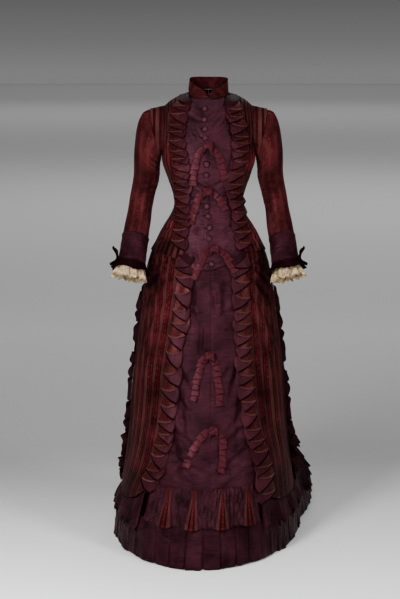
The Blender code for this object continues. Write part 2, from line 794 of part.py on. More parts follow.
def build_shirred_flounce():
    """The gathered flounce, which tucks in behind the striped side panels."""
    middle_level = (FLOUNCE_LEVEL + FRONT_PANEL_LEVEL) / 2
    left, right = (angle_at(x, middle_level) for x in skirt_edge(middle_level))
    grid = []
    for level in (FLOUNCE_LEVEL, middle_level, FRONT_PANEL_LEVEL - SEAM):
        row = []
        angles, _ = length_angles(level, -SHIRR_SPAN, SHIRR_SPAN, 4 * SHIRR_WAVES + 1)
        for number, angle in enumerate(angles):
            hidden = eased(angle, right - TUCK_START, right - TUCK_END)
            hidden += eased(-angle, -left - TUCK_START, -left - TUCK_END)
            gather = SHIRR_DEPTH * math.cos(math.pi / 2 * number)
            row.append((angle, level, gather * (1 - 0.5 * hidden) - SHIRR_TUCK * hidden))
        grid.append(row)
    hung_wall("shirred_flounce", grid, THIN_CLOTH)


def zigzag(place):
    """A wave of period 1 that goes from -1 to 1 and back in nearly straight lines."""
    return math.sin(2 * math.pi * place) * 0.9 + 0.1 * math.sin(6 * math.pi * place)


def cascade(name, line, column, start, end, waves, half_width, base):
    """A frill folded to and fro down its line, every fold standing away from the panel below it."""
    grid = []
    for number in range(4 * waves + 1):
        place = number / 4
        level = start + (end - start) * place / waves
        middle = angle_at(line(level)[column], level)
        ring_length = np.linalg.norm(form_point(middle + 0.5, level) - form_point(middle - 0.5, level))
        row = []
        for share in steps(-1, 1, 3):
            across = share * (1 - FRILL_NARROWING * math.cos(2 * math.pi * place))
            across += FRILL_SWING * zigzag(place)
            rise = FRILL_RISE * (1 + math.cos(2 * math.pi * place + FRILL_LAG * share))
            lift = base + THIN_CLOTH + SHOULDER_LIFT * eased(level, SHOULDER_LIFT_LEVEL, YOKE_LEVEL)
            row.append(surface(middle + across * half_width / ring_length, level, lift + rise))
        grid.append(row)
    cloth_wall(name, grid, THIN_CLOTH, "figured_silk")


def build_cascades():
    bodice_base = BODICE_OUT + TRIM_LIFT
    for side, column in (("left", 0), ("right", 1)):
        cascade("bodice_frill_" + side, bodice_frill_line, column, 0.890, 1.326,
                BODICE_FRILL_WAVES, BODICE_FRILL_HALF_WIDTH, bodice_base)
    cascade("skirt_frill_left", skirt_edge, 0, 0.190, 0.780,
            SKIRT_FRILL_WAVES, SKIRT_FRILL_HALF_WIDTH, SKIRT_TRIM_LIFT)
    cascade("skirt_frill_right", skirt_edge, 1, 0.150, 0.760,
            SKIRT_FRILL_WAVES, SKIRT_FRILL_HALF_WIDTH, SKIRT_TRIM_LIFT)


def build_side_ruffles():
    """A gathered ruffle that stands out along each side seam, from the hip to the flounce."""
    for name, side in (("side_ruffle_left", -1), ("side_ruffle_right", 1)):
        count = 4 * SIDE_RUFFLE_WAVES
        grid = []
        for number in range(count + 1):
            level = steps(*SIDE_RUFFLE_LEVELS, count + 1)[number]
            wave = math.sin(math.pi / 2 * number)
            ends = eased(number, 0, 4) * eased(count - number, 0, 4)
            row = []
            for share in (0.0, 1.0):
                angle = side * (SIDE_SEAM + SIDE_RUFFLE_SWING * wave * share)
                reach = RUFFLE_SEAT + SIDE_RUFFLE_REACH * share * (0.35 + 0.65 * ends)
                row.append(surface(angle, level, reach))
            grid.append(row[:: side])
        cloth_wall(name, grid, THIN_CLOTH, "plum_silk")


def build_buttons():
    """Domed buttons covered in the plum silk, seated on the vest."""
    for number, (level, x) in enumerate(BUTTONS, start=1):
        angle = angle_at(x, level)
        normal = form_normal(angle, level)
        seat = surface(angle, level, BODICE_OUT + BUTTON_SEAT)
        across = unit(np.cross(np.array([0.0, 0.0, 1.0]), normal))
        up = np.cross(normal, across)
        sides = BUTTON_SIDES
        vertices, faces = [], []
        for reach, rise in BUTTON_OUTLINE:
            for turn in steps(0, 2 * math.pi, sides + 1)[:-1]:
                flat = across * math.cos(turn) + up * math.sin(turn)
                vertices.append(seat + flat * reach * BUTTON_RADIUS + normal * rise * BUTTON_HEIGHT)
        vertices.append(seat + normal * BUTTON_HEIGHT)
        for ring in range(len(BUTTON_OUTLINE) - 1):
            for side in range(sides):
                after = (side + 1) % sides
                low, high = ring * sides, (ring + 1) * sides
                faces.append((low + side, low + after, high + after, high + side))
        top = (len(BUTTON_OUTLINE) - 1) * sides
        faces += [(top + side, top + (side + 1) % sides, len(vertices) - 1) for side in range(sides)]
        faces.append(tuple(range(sides))[::-1])
        add_object(f"button_{number:02d}", vertices, faces, "covered_button")


def smooth_path(points, count):
    """Points spaced evenly by number along a soft curve through the given ones."""
    curve = profile([(number, *point) for number, point in enumerate(points)])
    return [curve(place) for place in steps(0, len(points) - 1, count)]


def build_bows():
    for name, knot_level, knot_x, left, right in BOWS:
        base = BODICE_OUT if knot_level > VEST_POINT_LEVEL else 0.0
        points = [*left[::-1], (knot_level, knot_x), *right]
        path = smooth_path(points, 15)
        spots = [surface(angle_at(x, level), level, base + RIBBON_LIFT) for level, x in path]
        normals = [form_normal(angle_at(x, level), level) for level, x in path]
        grid = []
        tangents = np.gradient(np.array(spots), axis=0)
        for number, (spot, normal, tangent) in enumerate(zip(spots, normals, tangents)):
            across = unit(np.cross(tangent, normal))
            middle = abs(number - 7) / 7
            half = RIBBON_HALF_WIDTH * (1 - RIBBON_PINCH * (1 - eased(middle, 0.0, 0.35)))
            grid.append([
                spot + across * half * share + normal * RIBBON_ARCH * (1 - share * share)
                for share in (-1.0, 0.0, 1.0)
            ])
        cloth_wall(f"bow_{name}_ribbon", grid, THIN_CLOTH, "ribbon")
        knot_lift = base + RIBBON_LIFT + RIBBON_ARCH + SEAM + KNOT_HALF_DEPTH
        build_knot(f"bow_{name}_knot", knot_level, knot_x, knot_lift)


def build_knot(name, level, x, lift):
    """The knot of a bow, a soft pillow that stands on the ribbon."""
    angle = angle_at(x, level)
    normal = form_normal(angle, level)
    across = unit(np.cross(np.array([0.0, 0.0, 1.0]), normal))
    up = np.cross(normal, across)
    centre = surface(angle, level, lift)
    shape = bmesh.new()
    bmesh.ops.create_uvsphere(shape, u_segments=10, v_segments=6, radius=1.0)
    for vertex in shape.verts:
        x_share, y_share, z_share = vertex.co
        spread = 1 + 0.35 * x_share * x_share
        place = centre + across * x_share * KNOT_HALF_WIDTH
        place = place + up * z_share * KNOT_HALF_HEIGHT * spread + normal * y_share * KNOT_HALF_DEPTH
        vertex.co = place
    mesh = bpy.data.meshes.new(name)
    bmesh.ops.triangulate(shape, faces=shape.faces)
    bmesh.ops.recalc_face_normals(shape, faces=shape.faces)
    shape.to_mesh(mesh)
    shape.free()
    mesh.shade_smooth()
    mesh.materials.append(material("ribbon"))
    bpy.context.scene.collection.objects.link(bpy.data.objects.new(name, mesh))


def clear_scene():
    for old in list(bpy.data.objects):
        bpy.data.objects.remove(old, do_unlink=True)


def main():
    clear_scene()
    build_vest()
    build_bodice_fronts()
    build_bodice_backs()
    build_collar()
    build_sleeves()
    build_cuffs()
    build_cuff_bows()
    build_skirt()
    build_flounces()
    build_shirred_flounce()
    build_cascades()
    build_side_ruffles()
    build_buttons()
    build_bows()


main()
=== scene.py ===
"""Looks of a silk wedding dress of about 1880: every cloth panel as a thin shell with its folds,
pleats, frills, bows and lace, on the same form as the solids. Metres, +Z up, the front faces -Y."""

import math

import bpy
import numpy as np
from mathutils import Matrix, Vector


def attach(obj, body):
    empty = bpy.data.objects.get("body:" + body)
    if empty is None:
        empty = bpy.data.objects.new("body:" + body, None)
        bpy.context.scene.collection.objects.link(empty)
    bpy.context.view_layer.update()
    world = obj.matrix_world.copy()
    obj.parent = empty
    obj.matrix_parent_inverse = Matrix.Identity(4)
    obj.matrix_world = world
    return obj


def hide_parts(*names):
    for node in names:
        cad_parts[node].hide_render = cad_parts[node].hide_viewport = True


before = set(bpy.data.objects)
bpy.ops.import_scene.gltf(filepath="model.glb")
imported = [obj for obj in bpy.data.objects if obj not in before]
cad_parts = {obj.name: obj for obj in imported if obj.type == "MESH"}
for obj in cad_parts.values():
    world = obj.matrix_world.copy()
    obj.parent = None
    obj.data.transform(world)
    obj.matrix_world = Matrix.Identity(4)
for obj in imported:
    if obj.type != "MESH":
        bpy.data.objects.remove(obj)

# Driving sizes, the same as the solids'
NECK_HEIGHT = 1.330
SEAM = 0.0003
BODICE_OUT = 0.0035
TRIM_LIFT = 0.0015
SHOULDER_LIFT = 0.0015

FORM = (
    # height, half_width, front_y, back_y, centre_y, lean, sweep
    (0.000, 0.279, -0.292, 0.975, 0.232, -0.025, 0.200),
    (0.060, 0.276, -0.281, 0.880, 0.216, -0.023, 0.180),
    (0.118, 0.270, -0.268, 0.785, 0.198, -0.021, 0.155),
    (0.158, 0.264, -0.258, 0.710, 0.182, -0.018, 0.135),
    (0.257, 0.250, -0.233, 0.545, 0.146, -0.010, 0.085),
    (0.355, 0.239, -0.207, 0.410, 0.112, -0.004, 0.045),
    (0.450, 0.231, -0.184, 0.310, 0.084, 0.000, 0.018),
    (0.549, 0.220, -0.163, 0.245, 0.062, 0.000, 0.005),
    (0.645, 0.208, -0.148, 0.215, 0.045, 0.000, 0.000),
    (0.717, 0.198, -0.138, 0.192, 0.033, 0.000, 0.000),
    (0.789, 0.189, -0.129, 0.172, 0.023, 0.000, 0.000),
    (0.836, 0.180, -0.121, 0.150, 0.016, 0.000, 0.000),
    (0.884, 0.1655, -0.113, 0.130, 0.010, 0.000, 0.000),
    (0.919, 0.148, -0.104, 0.112, 0.005, 0.000, 0.000),
    (0.955, 0.129, -0.0945, 0.095, 0.002, 0.000, 0.000),
    (0.990, 0.107, -0.0875, 0.080, 0.000, 0.000, 0.000),
    (1.0135, 0.0975, -0.085, 0.075, 0.000, 0.000, 0.000),
    (1.040, 0.0985, -0.086, 0.075, 0.000, 0.000, 0.000),
    (1.070, 0.1065, -0.090, 0.078, 0.000, 0.000, 0.000),
    (1.107, 0.1200, -0.100, 0.082, 0.000, 0.000, 0.000),
    (1.140, 0.1310, -0.110, 0.086, 0.000, 0.000, 0.000),
    (1.180, 0.1335, -0.112, 0.089, 0.001, 0.000, 0.000),
    (1.220, 0.1340, -0.105, 0.091, 0.003, 0.000, 0.000),
    (1.255, 0.1330, -0.094, 0.092, 0.005, 0.000, 0.000),
    (1.290, 0.1310, -0.081, 0.088, 0.006, 0.000, 0.000),
)
YOKE_LEVEL = 1.290
NECK_LEVEL = 1.345
NECK_HALF_WIDTH = 0.057
NECK_HALF_DEPTH = 0.057
NECK_CENTRE_Y = 0.004
NECK_SIDE_HEIGHT = 1.337
NECK_TILT = 0.013
SLOPE_POWER = 1.5
BACK_FOLDS = 14
BACK_FOLD_START = math.radians(100)
BACK_FOLD_EASE = math.radians(20)
BACK_FOLD_DEPTHS = (
    # height, share of the reach
    (0.000, 0.020),
    (0.250, 0.034),
    (0.600, 0.030),
    (0.850, 0.008),
    (0.950, 0.000),
    (1.345, 0.000),
)
ARMHOLE_LEVEL = 1.2345
ARMHOLE_HALF_HEIGHT = 0.0690
ARMHOLE_HALF_ANGLE = math.radians(21)
CLOSURE_ANGLE = math.radians(-2)
COLLAR_GAP_TURN = math.radians(1.2)
COLLAR_NOTCH = 0.007
COLLAR_NOTCH_TURN = math.radians(85)
COLLAR_HEIGHT = 0.043
COLLAR_BACK_DROP = 0.007
COLLAR_TAPER = 0.05
SIDE_SEAM = math.radians(90)
VEST_EDGE = (
    # level, left_x, right_x
    (0.840, -0.070, 0.100),
    (0.890, -0.066, 0.094),
    (0.940, -0.062, 0.084),
    (0.990, -0.059, 0.068),
    (1.060, -0.057, 0.056),
    (1.120, -0.062, 0.062),
    (1.200, -0.068, 0.070),
    (1.290, -0.064, 0.064),
    (1.345, -0.036, 0.036),
)
VEST_POINT_LEVEL = 0.838
VEST_RISE = 0.052
VEST_RISE_POWER = 1.7
VEST_LEFT_REACH = 0.068
VEST_RIGHT_REACH = 0.100
BASQUE_SIDE_LEVEL = 0.886
BASQUE_BACK_LEVEL = 0.872
SKIRT_TOP_LEVEL = 0.990
LEVEL_OUT_BELOW = 0.800
FRONT_PANEL_LEVEL = 0.222
FLOUNCE_LEVEL = 0.118
SIDE_PANEL_LEVEL = 0.136
SIDE_CORNER_RISE = 0.060
SKIRT_EDGE = (
    # level, left_x, right_x
    (0.110, -0.215, 0.168),
    (0.185, -0.190, 0.166),
    (0.232, -0.163, 0.162),
    (0.290, -0.142, 0.152),
    (0.355, -0.126, 0.130),
    (0.450, -0.111, 0.113),
    (0.540, -0.106, 0.105),
    (0.650, -0.089, 0.098),
    (0.750, -0.076, 0.094),
    (0.880, -0.066, 0.090),
    (0.990, -0.058, 0.070),
)
BODICE_FRILL_LINE = (
    # level, left_x, right_x
    (0.888, -0.083, 0.103),
    (0.940, -0.079, 0.093),
    (1.037, -0.071, 0.077),
    (1.100, -0.073, 0.070),
    (1.163, -0.080, 0.088),
    (1.236, -0.089, 0.085),
    (1.290, -0.080, 0.071),
    (1.330, -0.066, 0.063),
)
SIDE_RUFFLE_LEVELS = (0.145, 0.780)
SIDE_RUFFLE_WAVES = 11
RUFFLE_REACH = 0.017
FLOUNCE_PLEAT = 0.050
FLOUNCE_PLEAT_DEPTH = 0.0055
FLOUNCE_SEAT = 0.0008
FLOUNCE_CORNERS = [math.radians(turn) for turn in (-62, 62, 128, 232, 298)]
SHIRR_SPAN = math.radians(112)
SHIRR_TUCK = 0.0060
TUCK_START = 0.16
TUCK_END = 0.04
BUTTON_RADIUS = 0.0080
BUTTON_HEIGHT = 0.0042
BUTTON_SEAT = 0.00055
BUTTONS = (
    # level, x
    (1.2990, -0.0110),
    (1.2670, -0.0120),
    (1.2410, -0.0105),
    (1.2165, -0.0100),
    (1.1430, -0.0060),
    (1.1120, -0.0065),
    (1.0200, -0.0050),
    (0.9910, -0.0015),
    (0.9575, 0.0025),
    (0.9270, 0.0010),
    (0.8560, 0.0080),
)
RIBBON_HALF_WIDTH = 0.0100
BOWS = (
    # name, knot level, knot_x, left tail (level, x), right tail (level, x)
    ("chest", 1.1950, -0.002, ((1.172, -0.026), (1.138, -0.038), (1.082, -0.044)),
     ((1.168, 0.025), (1.137, 0.036), (1.100, 0.043))),
    ("waist", 1.0660, -0.002, ((1.046, -0.024), (1.018, -0.036), (0.966, -0.048)),
     ((1.050, 0.020), (1.034, 0.033), (1.008, 0.046))),
    ("hip", 0.9000, 0.015, ((0.884, -0.008), (0.856, -0.024), (0.812, -0.041)),
     ((0.884, 0.040), (0.858, 0.060), (0.818, 0.082))),
    ("skirt", 0.5970, 0.003, ((0.574, -0.018), (0.530, -0.032), (0.466, -0.044)),
     ((0.570, 0.018), (0.528, 0.026), (0.452, 0.031))),
    ("hem", 0.3870, 0.013, ((0.366, -0.018), (0.330, -0.044), (0.280, -0.067)),
     ((0.366, 0.034), (0.330, 0.040), (0.265, 0.034))),
)
SLEEVE = (
    # outer_x, outer_height, inner_x, inner_height, y, half_depth
    (0.168, 1.303, 0.1395, 1.150, 0.003, 0.044),
    (0.192, 1.283, 0.1415, 1.137, 0.004, 0.046),
    (0.207, 1.247, 0.1430, 1.124, 0.006, 0.047),
    (0.2155, 1.180, 0.1440, 1.104, 0.010, 0.047),
    (0.2190, 1.110, 0.1470, 1.085, 0.013, 0.046),
    (0.2275, 1.055, 0.1570, 1.048, 0.010, 0.043),
    (0.2350, 1.012, 0.1650, 1.005, -0.008, 0.040),
    (0.2435, 0.968, 0.1710, 0.955, -0.035, 0.038),
    (0.2505, 0.930, 0.1770, 0.916, -0.060, 0.037),
    (0.2560, 0.896, 0.1810, 0.880, -0.078, 0.037),
    (0.2610, 0.862, 0.1840, 0.846, -0.092, 0.038),
    (0.2660, 0.836, 0.1870, 0.820, -0.102, 0.039),
    (0.2700, 0.812, 0.1890, 0.796, -0.110, 0.040),
)
SLEEVE_END_ROW = 9.0
CUFF_END_ROW = 11.0
CUFF_FRILL_END_ROW = 11.8
LACE_START_ROW = 10.9
LACE_END_ROW = 12.6
LACE_TUCK = -0.0020
CUFF_OUT = 0.0012

# One stripe repeat, and how wide the cut stands where the stripes are laid out
STRIPE_REPEAT = 0.026
BODICE_STRIPE_RADIUS = 0.134

# How far the skirt's cloth lies out from the form
SKIRT_OUT = 0.0004
SIDE_PANEL_OUT = 0.0006

# Thickness of the cloths
PLUM_CLOTH = 0.0012
STRIPED_CLOTH = 0.0014
FLOUNCE_CLOTH = 0.0010
FRILL_CLOTH = 0.0008
RUFFLE_CLOTH = 0.0009

SIDES = ((1, "_right"), (-1, "_left"))
MIRROR = np.array([-1.0, 1.0, 1.0])
TURN = 2 * math.pi


def profile(rows):
    """A smooth curve through the rows of a table, which gives every column at any value of the first."""
    table = np.array(sorted(rows), dtype=float)
    places, values = table[:, 0], table[:, 1:]
    slopes = np.gradient(values, places, axis=0)

    def at(place):
        place = np.clip(np.asarray(place, dtype=float), places[0], places[-1])
        low = np.clip(np.searchsorted(places, place, side="right") - 1, 0, len(places) - 2)
        span = places[low + 1] - places[low]
        part = (place - places[low]) / span
        rise = (part * part * (3 - 2 * part))[..., None]
        leaving = (span * part * (1 - part) ** 2)[..., None] * slopes[low]
        arriving = (span * part * part * (1 - part))[..., None] * slopes[low + 1]
        return values[low] + (values[low + 1] - values[low]) * rise + leaving - arriving

    return at


form_row = profile(FORM)
fold_depth = profile(BACK_FOLD_DEPTHS)
vest_edge = profile(VEST_EDGE)
skirt_edge = profile(SKIRT_EDGE)
bodice_frill_line = profile(BODICE_FRILL_LINE)
sleeve_row = profile([(number, *row) for number, row in enumerate(SLEEVE, start=1)])


def eased(value, start, end):
    """0 before start and 1 after end, with a soft change between."""
    part = np.clip((np.asarray(value, dtype=float) - start) / (end - start), 0.0, 1.0)
    return part * part * (3 - 2 * part)


def unit(vectors):
    return vectors / np.maximum(np.linalg.norm(vectors, axis=-1, keepdims=True), 1e-12)


def back_fold(angle, level):
    turn = np.abs(np.remainder(angle + math.pi, 2 * math.pi) - math.pi)
    behind = eased(turn, BACK_FOLD_START, BACK_FOLD_START + BACK_FOLD_EASE)
    return fold_depth(level)[..., 0] * behind * np.cos(BACK_FOLDS * turn)


def ring_point(angle, level):
    """Points of the form's rings, where angle 0 is the front and a quarter turn is +X."""
    half_width, front_y, back_y, centre_y, lean, sweep = np.moveaxis(form_row(level), -1, 0)
    side, ahead = np.sin(angle), np.cos(angle)
    reach = np.where(ahead > 0, centre_y - front_y, back_y - centre_y)
    shift = np.where(ahead > 0, lean * ahead, -sweep * ahead)
    swell = 1 + back_fold(angle, level)
    return np.stack([
        half_width * side * swell + shift,
        centre_y - reach * ahead * swell,
        level - NECK_HEIGHT + 0 * side,
    ], axis=-1)


def neck_point(angle):
    side, ahead = np.sin(angle), np.cos(angle)
    return np.stack([
        NECK_HALF_WIDTH * side,
        NECK_CENTRE_Y - NECK_HALF_DEPTH * ahead,
        NECK_SIDE_HEIGHT - NECK_TILT * ahead - NECK_HEIGHT,
    ], axis=-1)


def form_point(angle, level):
    angle, level = np.broadcast_arrays(np.asarray(angle, float), np.asarray(level, float))
    share = np.clip((level - YOKE_LEVEL) / (NECK_LEVEL - YOKE_LEVEL), 0.0, 1.0)
    low, top = ring_point(angle, np.minimum(level, YOKE_LEVEL)), neck_point(angle)
    inward = share ** SLOPE_POWER
    rise = 1 - (1 - share) ** SLOPE_POWER
    blend = np.stack([inward, inward, rise], axis=-1)
    return low + (top - low) * blend


def form_normal(angle, level):
    step = 0.002
    around = form_point(angle + step, level) - form_point(angle - step, level)
    high, low = np.minimum(level + step, NECK_LEVEL), np.maximum(level - step, 0.0)
    return unit(np.cross(around, form_point(angle, high) - form_point(angle, low)))


def out_direction(angle, level):
    """The form's normal on the body, turning level below the hips."""
    normal = form_normal(angle, level)
    normal[..., 2] *= eased(level, LEVEL_OUT_BELOW, SKIRT_TOP_LEVEL)
    return unit(normal)


def surface(angle, level, out=0.0):
    """Points that lie out from the form."""
    angle, level, out = np.broadcast_arrays(*(np.asarray(v, float) for v in (angle, level, out)))
    return form_point(angle, level) + out_direction(angle, level) * out[..., None]


def angle_at(x, level):
    """The angle on the front half of the form where its surface crosses x."""
    x, level = np.broadcast_arrays(np.asarray(x, float), np.asarray(level, float))
    half_width = form_point(math.pi / 2, level)[..., 0]
    lean = form_row(np.minimum(level, YOKE_LEVEL))[..., 4]
    angle = np.zeros_like(x)
    for _ in range(5):
        angle = np.arcsin(np.clip((x - lean * np.cos(angle)) / half_width, -1.0, 1.0))
    return angle


def lengths_along(points, axis=1):
    """How far each point of a grid lies from the first, along its row or its column."""
    reach = np.linalg.norm(np.diff(points, axis=axis), axis=-1)
    start = np.zeros_like(np.take(reach, [0], axis=axis))
    return np.cumsum(np.concatenate([start, reach], axis=axis), axis=axis)


def ripple(a, b, seed):
    """A smooth uneven wave over two coordinates, from about -1 to 1, the same each run."""
    total = 0.0
    for number in range(4):
        turn = seed * 1.7 + number * 2.4
        total = total + np.sin(a * math.cos(turn) * (1 + 0.37 * number)
                               + b * math.sin(turn) * (1 + 0.37 * number) + turn * 3.1)
    return total / 2.6


def crease(x, z, start, end, width, depth):
    """A soft trough from one place to another, deepest at its middle, as a height over (x, z)."""
    (x0, z0), (x1, z1) = start, end
    length = math.hypot(x1 - x0, z1 - z0)
    along = ((x - x0) * (x1 - x0) + (z - z0) * (z1 - z0)) / length
    beside = ((x - x0) * (z1 - z0) - (z - z0) * (x1 - x0)) / length
    part = np.clip(along / length, 0.0, 1.0)
    over = np.maximum(np.maximum(-along, along - length), 0.0)
    fade = np.sin(math.pi * np.clip(part, 0.04, 0.96)) ** 0.6 * np.exp(-(over / width) ** 2)
    trough = np.exp(-(beside / width) ** 2)
    bank = 0.55 * np.exp(-((np.abs(beside) - 2 * width) / width) ** 2)
    return depth * fade * (bank - trough)


def creases(x, z, rows, gain=1.0, scale=(1.0, 1.0), shift=0.0):
    """The creases of a table added up. Its places are scaled, and their heights shifted apart."""
    total = 0.0
    for (x0, z0), (x1, z1), width, depth in rows:
        start = (x0 * scale[0], (z0 + shift) * scale[1])
        end = (x1 * scale[0], (z1 - shift) * scale[1])
        total = total + crease(x, z, start, end, width, gain * depth)
    return total


def steps_across(count, start=0.0, end=1.0):
    """Even steps along the rows of a grid."""
    return np.linspace(start, end, count)[None, :]


def steps_down(count, start=0.0, end=1.0):
    """Even steps along the columns of a grid."""
    return np.linspace(start, end, count)[:, None]


# Materials

# Every material by its name, filled by new_material
materials = {}
# Tints of the gloss
PLUM_GLOSS = (1.0, 0.42, 0.60)
RED_GLOSS = (1.0, 0.30, 0.36)
FIGURED_GLOSS = (1.0, 0.36, 0.36)
CREAM_GLOSS = (1.0, 0.9, 0.7)
WHITE = (1.0, 1.0, 1.0)
# One thread of the weave and one mesh of the lace, in metres
WEAVE_PERIOD = 0.0011
NET_PERIOD = 0.0018
ROUGHNESS_RANGE = 0.06
# The red that the stripes are drawn towards, and the red of their brighter patches, which stand partly for
# uneven tone and partly for painted sheen
RED_DYE = (0.0250, 0.0042, 0.0048)
RED_FLUSH_AND_SHEEN = (0.0500, 0.0070, 0.0092)


def new_material(name, roughness, specular, tint):
    """A cloth material. The tint colours the gloss, as dyed silk does."""
    material = bpy.data.materials.new(name)
    material.use_nodes = True
    shader = material.node_tree.nodes["Principled BSDF"]
    shader.inputs["Roughness"].default_value = roughness
    shader.inputs["Specular IOR Level"].default_value = specular
    shader.inputs["Specular Tint"].default_value = (*tint, 1.0)
    materials[name] = material
    return material.node_tree, shader


def feed(tree, value, socket):
    """Gives a socket a number, a colour, a vector or what another node puts out."""
    if isinstance(value, bpy.types.NodeSocket):
        tree.links.new(value, socket)
    elif socket.type == "RGBA":
        socket.default_value = (*value, 1.0)
    else:
        socket.default_value = value


def node(tree, kind, inputs, output=0, **settings):
    """One output of a new shader node, after its settings and inputs are given."""
    made = tree.nodes.new("ShaderNode" + kind)
    for name, value in settings.items():
        setattr(made, name, value)
    for socket, value in inputs.items():
        feed(tree, value, made.inputs[socket])
    return made.outputs[output]


def math_node(tree, operation, *values):
    return node(tree, "Math", dict(enumerate(values)), operation=operation)


def weighted(tree, *terms):
    """The sum of some values, each times its weight."""
    total = 0.0
    for value, weight in terms:
        total = math_node(tree, "MULTIPLY_ADD", value, weight, total)
    return total


def ramp(tree, factor, stops, interpolation="LINEAR"):
    """A colour ramp. Stops are (place, (red, green, blue)) or (place, value)."""
    colour = node(tree, "ValToRGB", {"Fac": factor}, "Color")
    colour.node.color_ramp.interpolation = interpolation
    elements = colour.node.color_ramp.elements
    while len(elements) < len(stops):
        elements.new(1.0)
    for element, (place, value) in zip(elements, stops):
        element.position = place
        element.color = (*(value if isinstance(value, tuple) else (value,) * 3), 1.0)
    return colour


def mix_colours(tree, factor, first, second, blend="MIX"):
    return node(tree, "Mix", {0: factor, 6: first, 7: second}, 2, data_type="RGBA", blend_type=blend)


def cloth_axes(tree):
    """The cloth's own coordinates in metres: both as one vector, across and along."""
    uv = node(tree, "UVMap", {}, "UV", uv_map="cloth")
    split = node(tree, "SeparateXYZ", {0: uv}).node.outputs
    return uv, split["X"], split["Y"]


def noise(tree, vector, scale, detail=3.0):
    return node(tree, "TexNoise", {"Vector": vector, "Scale": scale, "Detail": detail,
                                   "Roughness": 0.55}, "Fac")


def streaks(tree, uv, across, along, detail=3.0):
    """Noise with its own scale across and along the cloth."""
    vector = node(tree, "VectorMath", {0: uv, 1: (across, along, 1.0)}, operation="MULTIPLY")
    return noise(tree, vector, 1.0, detail)


def weave_height(tree, across, along, period, rib):
    """Height of a fine weave: threads across and along, with the ribs across weighted by rib."""
    turns = TURN / period
    warp = math_node(tree, "SINE", math_node(tree, "MULTIPLY", across, turns))
    weft = math_node(tree, "SINE", math_node(tree, "MULTIPLY", along, turns))
    return weighted(tree, (warp, 1 - rib), (weft, rib))


def add_bump(tree, shader, height, distance, strength=1.0, under=None):
    inputs = {"Strength": strength, "Distance": distance, "Height": height}
    if under is not None:
        inputs["Normal"] = under
    normal = node(tree, "Bump", inputs, "Normal")
    feed(tree, normal, shader.inputs["Normal"])
    return normal


BODICE_PAINTED_SHEEN = (
    # place (x, y, height), reach and colour gain of a painted highlight where the silk lies tight and
    # catches the light
    ((0.125, -0.046, 1.152), 0.042, (4.5, 2.2, 3.0)),
    ((-0.122, -0.050, 1.150), 0.038, (3.6, 1.8, 2.4)),
    ((0.128, -0.048, 0.930), 0.060, (4.2, 2.8, 3.6)),
    ((-0.105, -0.058, 0.955), 0.045, (2.4, 1.6, 1.8)),
)
# Painted highlights on the lower vest
VEST_PAINTED_SHEEN = (
    ((-0.030, -0.101, 0.935), 0.050, (1.5, 1.6, 1.6)),
    ((0.045, -0.101, 0.925), 0.055, (1.6, 1.8, 1.8)),
)
# Painted highlights on the skirt front
SKIRT_PAINTED_SHEEN = (
    ((0.075, -0.222, 0.262), 0.070, (2.2, 2.4, 2.5)),
    ((0.030, -0.136, 0.740), 0.070, (1.5, 1.6, 1.6)),
)


def add_painted_sheen(tree, colour, spots):
    """Painted highlights: soft lighter spots in the colour of the cloth, painted into its base colour."""
    place = node(tree, "TexCoord", {}, "Object")
    for (x, y, height), reach, gain in spots:
        away = node(tree, "VectorMath", {0: place, 1: (x, y, height - NECK_HEIGHT)}, "Value",
                    operation="DISTANCE")
        share = ramp(tree, math_node(tree, "MULTIPLY", away, 1 / reach),
                     ((0.0, 0.80), (0.5, 0.50), (1.0, 0.0)), "EASE")
        colour = mix_colours(tree, share, colour, mix_colours(tree, 1.0, colour, gain, "MULTIPLY"))
    return colour


def silk(name, dark, light, roughness, rib=0.75, crinkle=0.0, specular=0.11, painted_sheen=()):
    """Plain silk with fine ribs, a slow change of tone and faint streaks along the ribs, and painted
    highlights at the spots given.
    """
    tree, shader = new_material(name, roughness, specular, PLUM_GLOSS)
    uv, across, along = cloth_axes(tree)
    tone = weighted(tree, (noise(tree, uv, 14.0), 0.6), (streaks(tree, uv, 30.0, 420.0, 2.0), 0.4))
    # The slow tone, with painted highlights at the spots given
    colour = add_painted_sheen(tree, ramp(tree, tone, ((0.39, dark), (0.62, light))), painted_sheen)
    feed(tree, colour, shader.inputs["Base Color"])
    rough = node(tree, "MapRange", {
        "Value": tone, "From Min": 0.3, "From Max": 0.7,
        "To Min": roughness + ROUGHNESS_RANGE, "To Max": roughness - ROUGHNESS_RANGE}, "Result")
    feed(tree, rough, shader.inputs["Roughness"])
    normal = add_bump(tree, shader, weave_height(tree, across, along, WEAVE_PERIOD, rib), 0.00012, 0.5)
    if crinkle:
        add_bump(tree, shader, streaks(tree, uv, 30.0, 130.0), crinkle, 1.0, normal)


STRIPES = (
    # share of the repeat where it starts, colour, roughness, pile height, share of the figure
    (0.00, (0.0215, 0.0072, 0.0066), 0.50, 0.0, 0.10),
    (0.36, (0.0062, 0.0006, 0.0008), 0.80, 1.0, 0.20),
    (0.50, (0.0280, 0.0030, 0.0038), 0.50, 0.7, 0.80),
    (0.66, (0.0058, 0.0005, 0.0007), 0.80, 1.0, 0.20),
    (0.76, (0.0330, 0.0036, 0.0046), 0.50, 0.5, 1.00),
    (0.90, (0.0066, 0.0007, 0.0009), 0.80, 1.0, 0.20),
)
WIDE_STRIPES = (
    (0.00, (0.0215, 0.0072, 0.0066), 0.50, 0.0, 0.10),
    (0.28, (0.0034, 0.0003, 0.0005), 0.80, 1.0, 0.20),
    (0.50, (0.0225, 0.0064, 0.0062), 0.50, 0.0, 0.30),
    (0.78, (0.0125, 0.0010, 0.0014), 0.80, 1.0, 0.60),
)
WIDE_REPEAT = 0.036


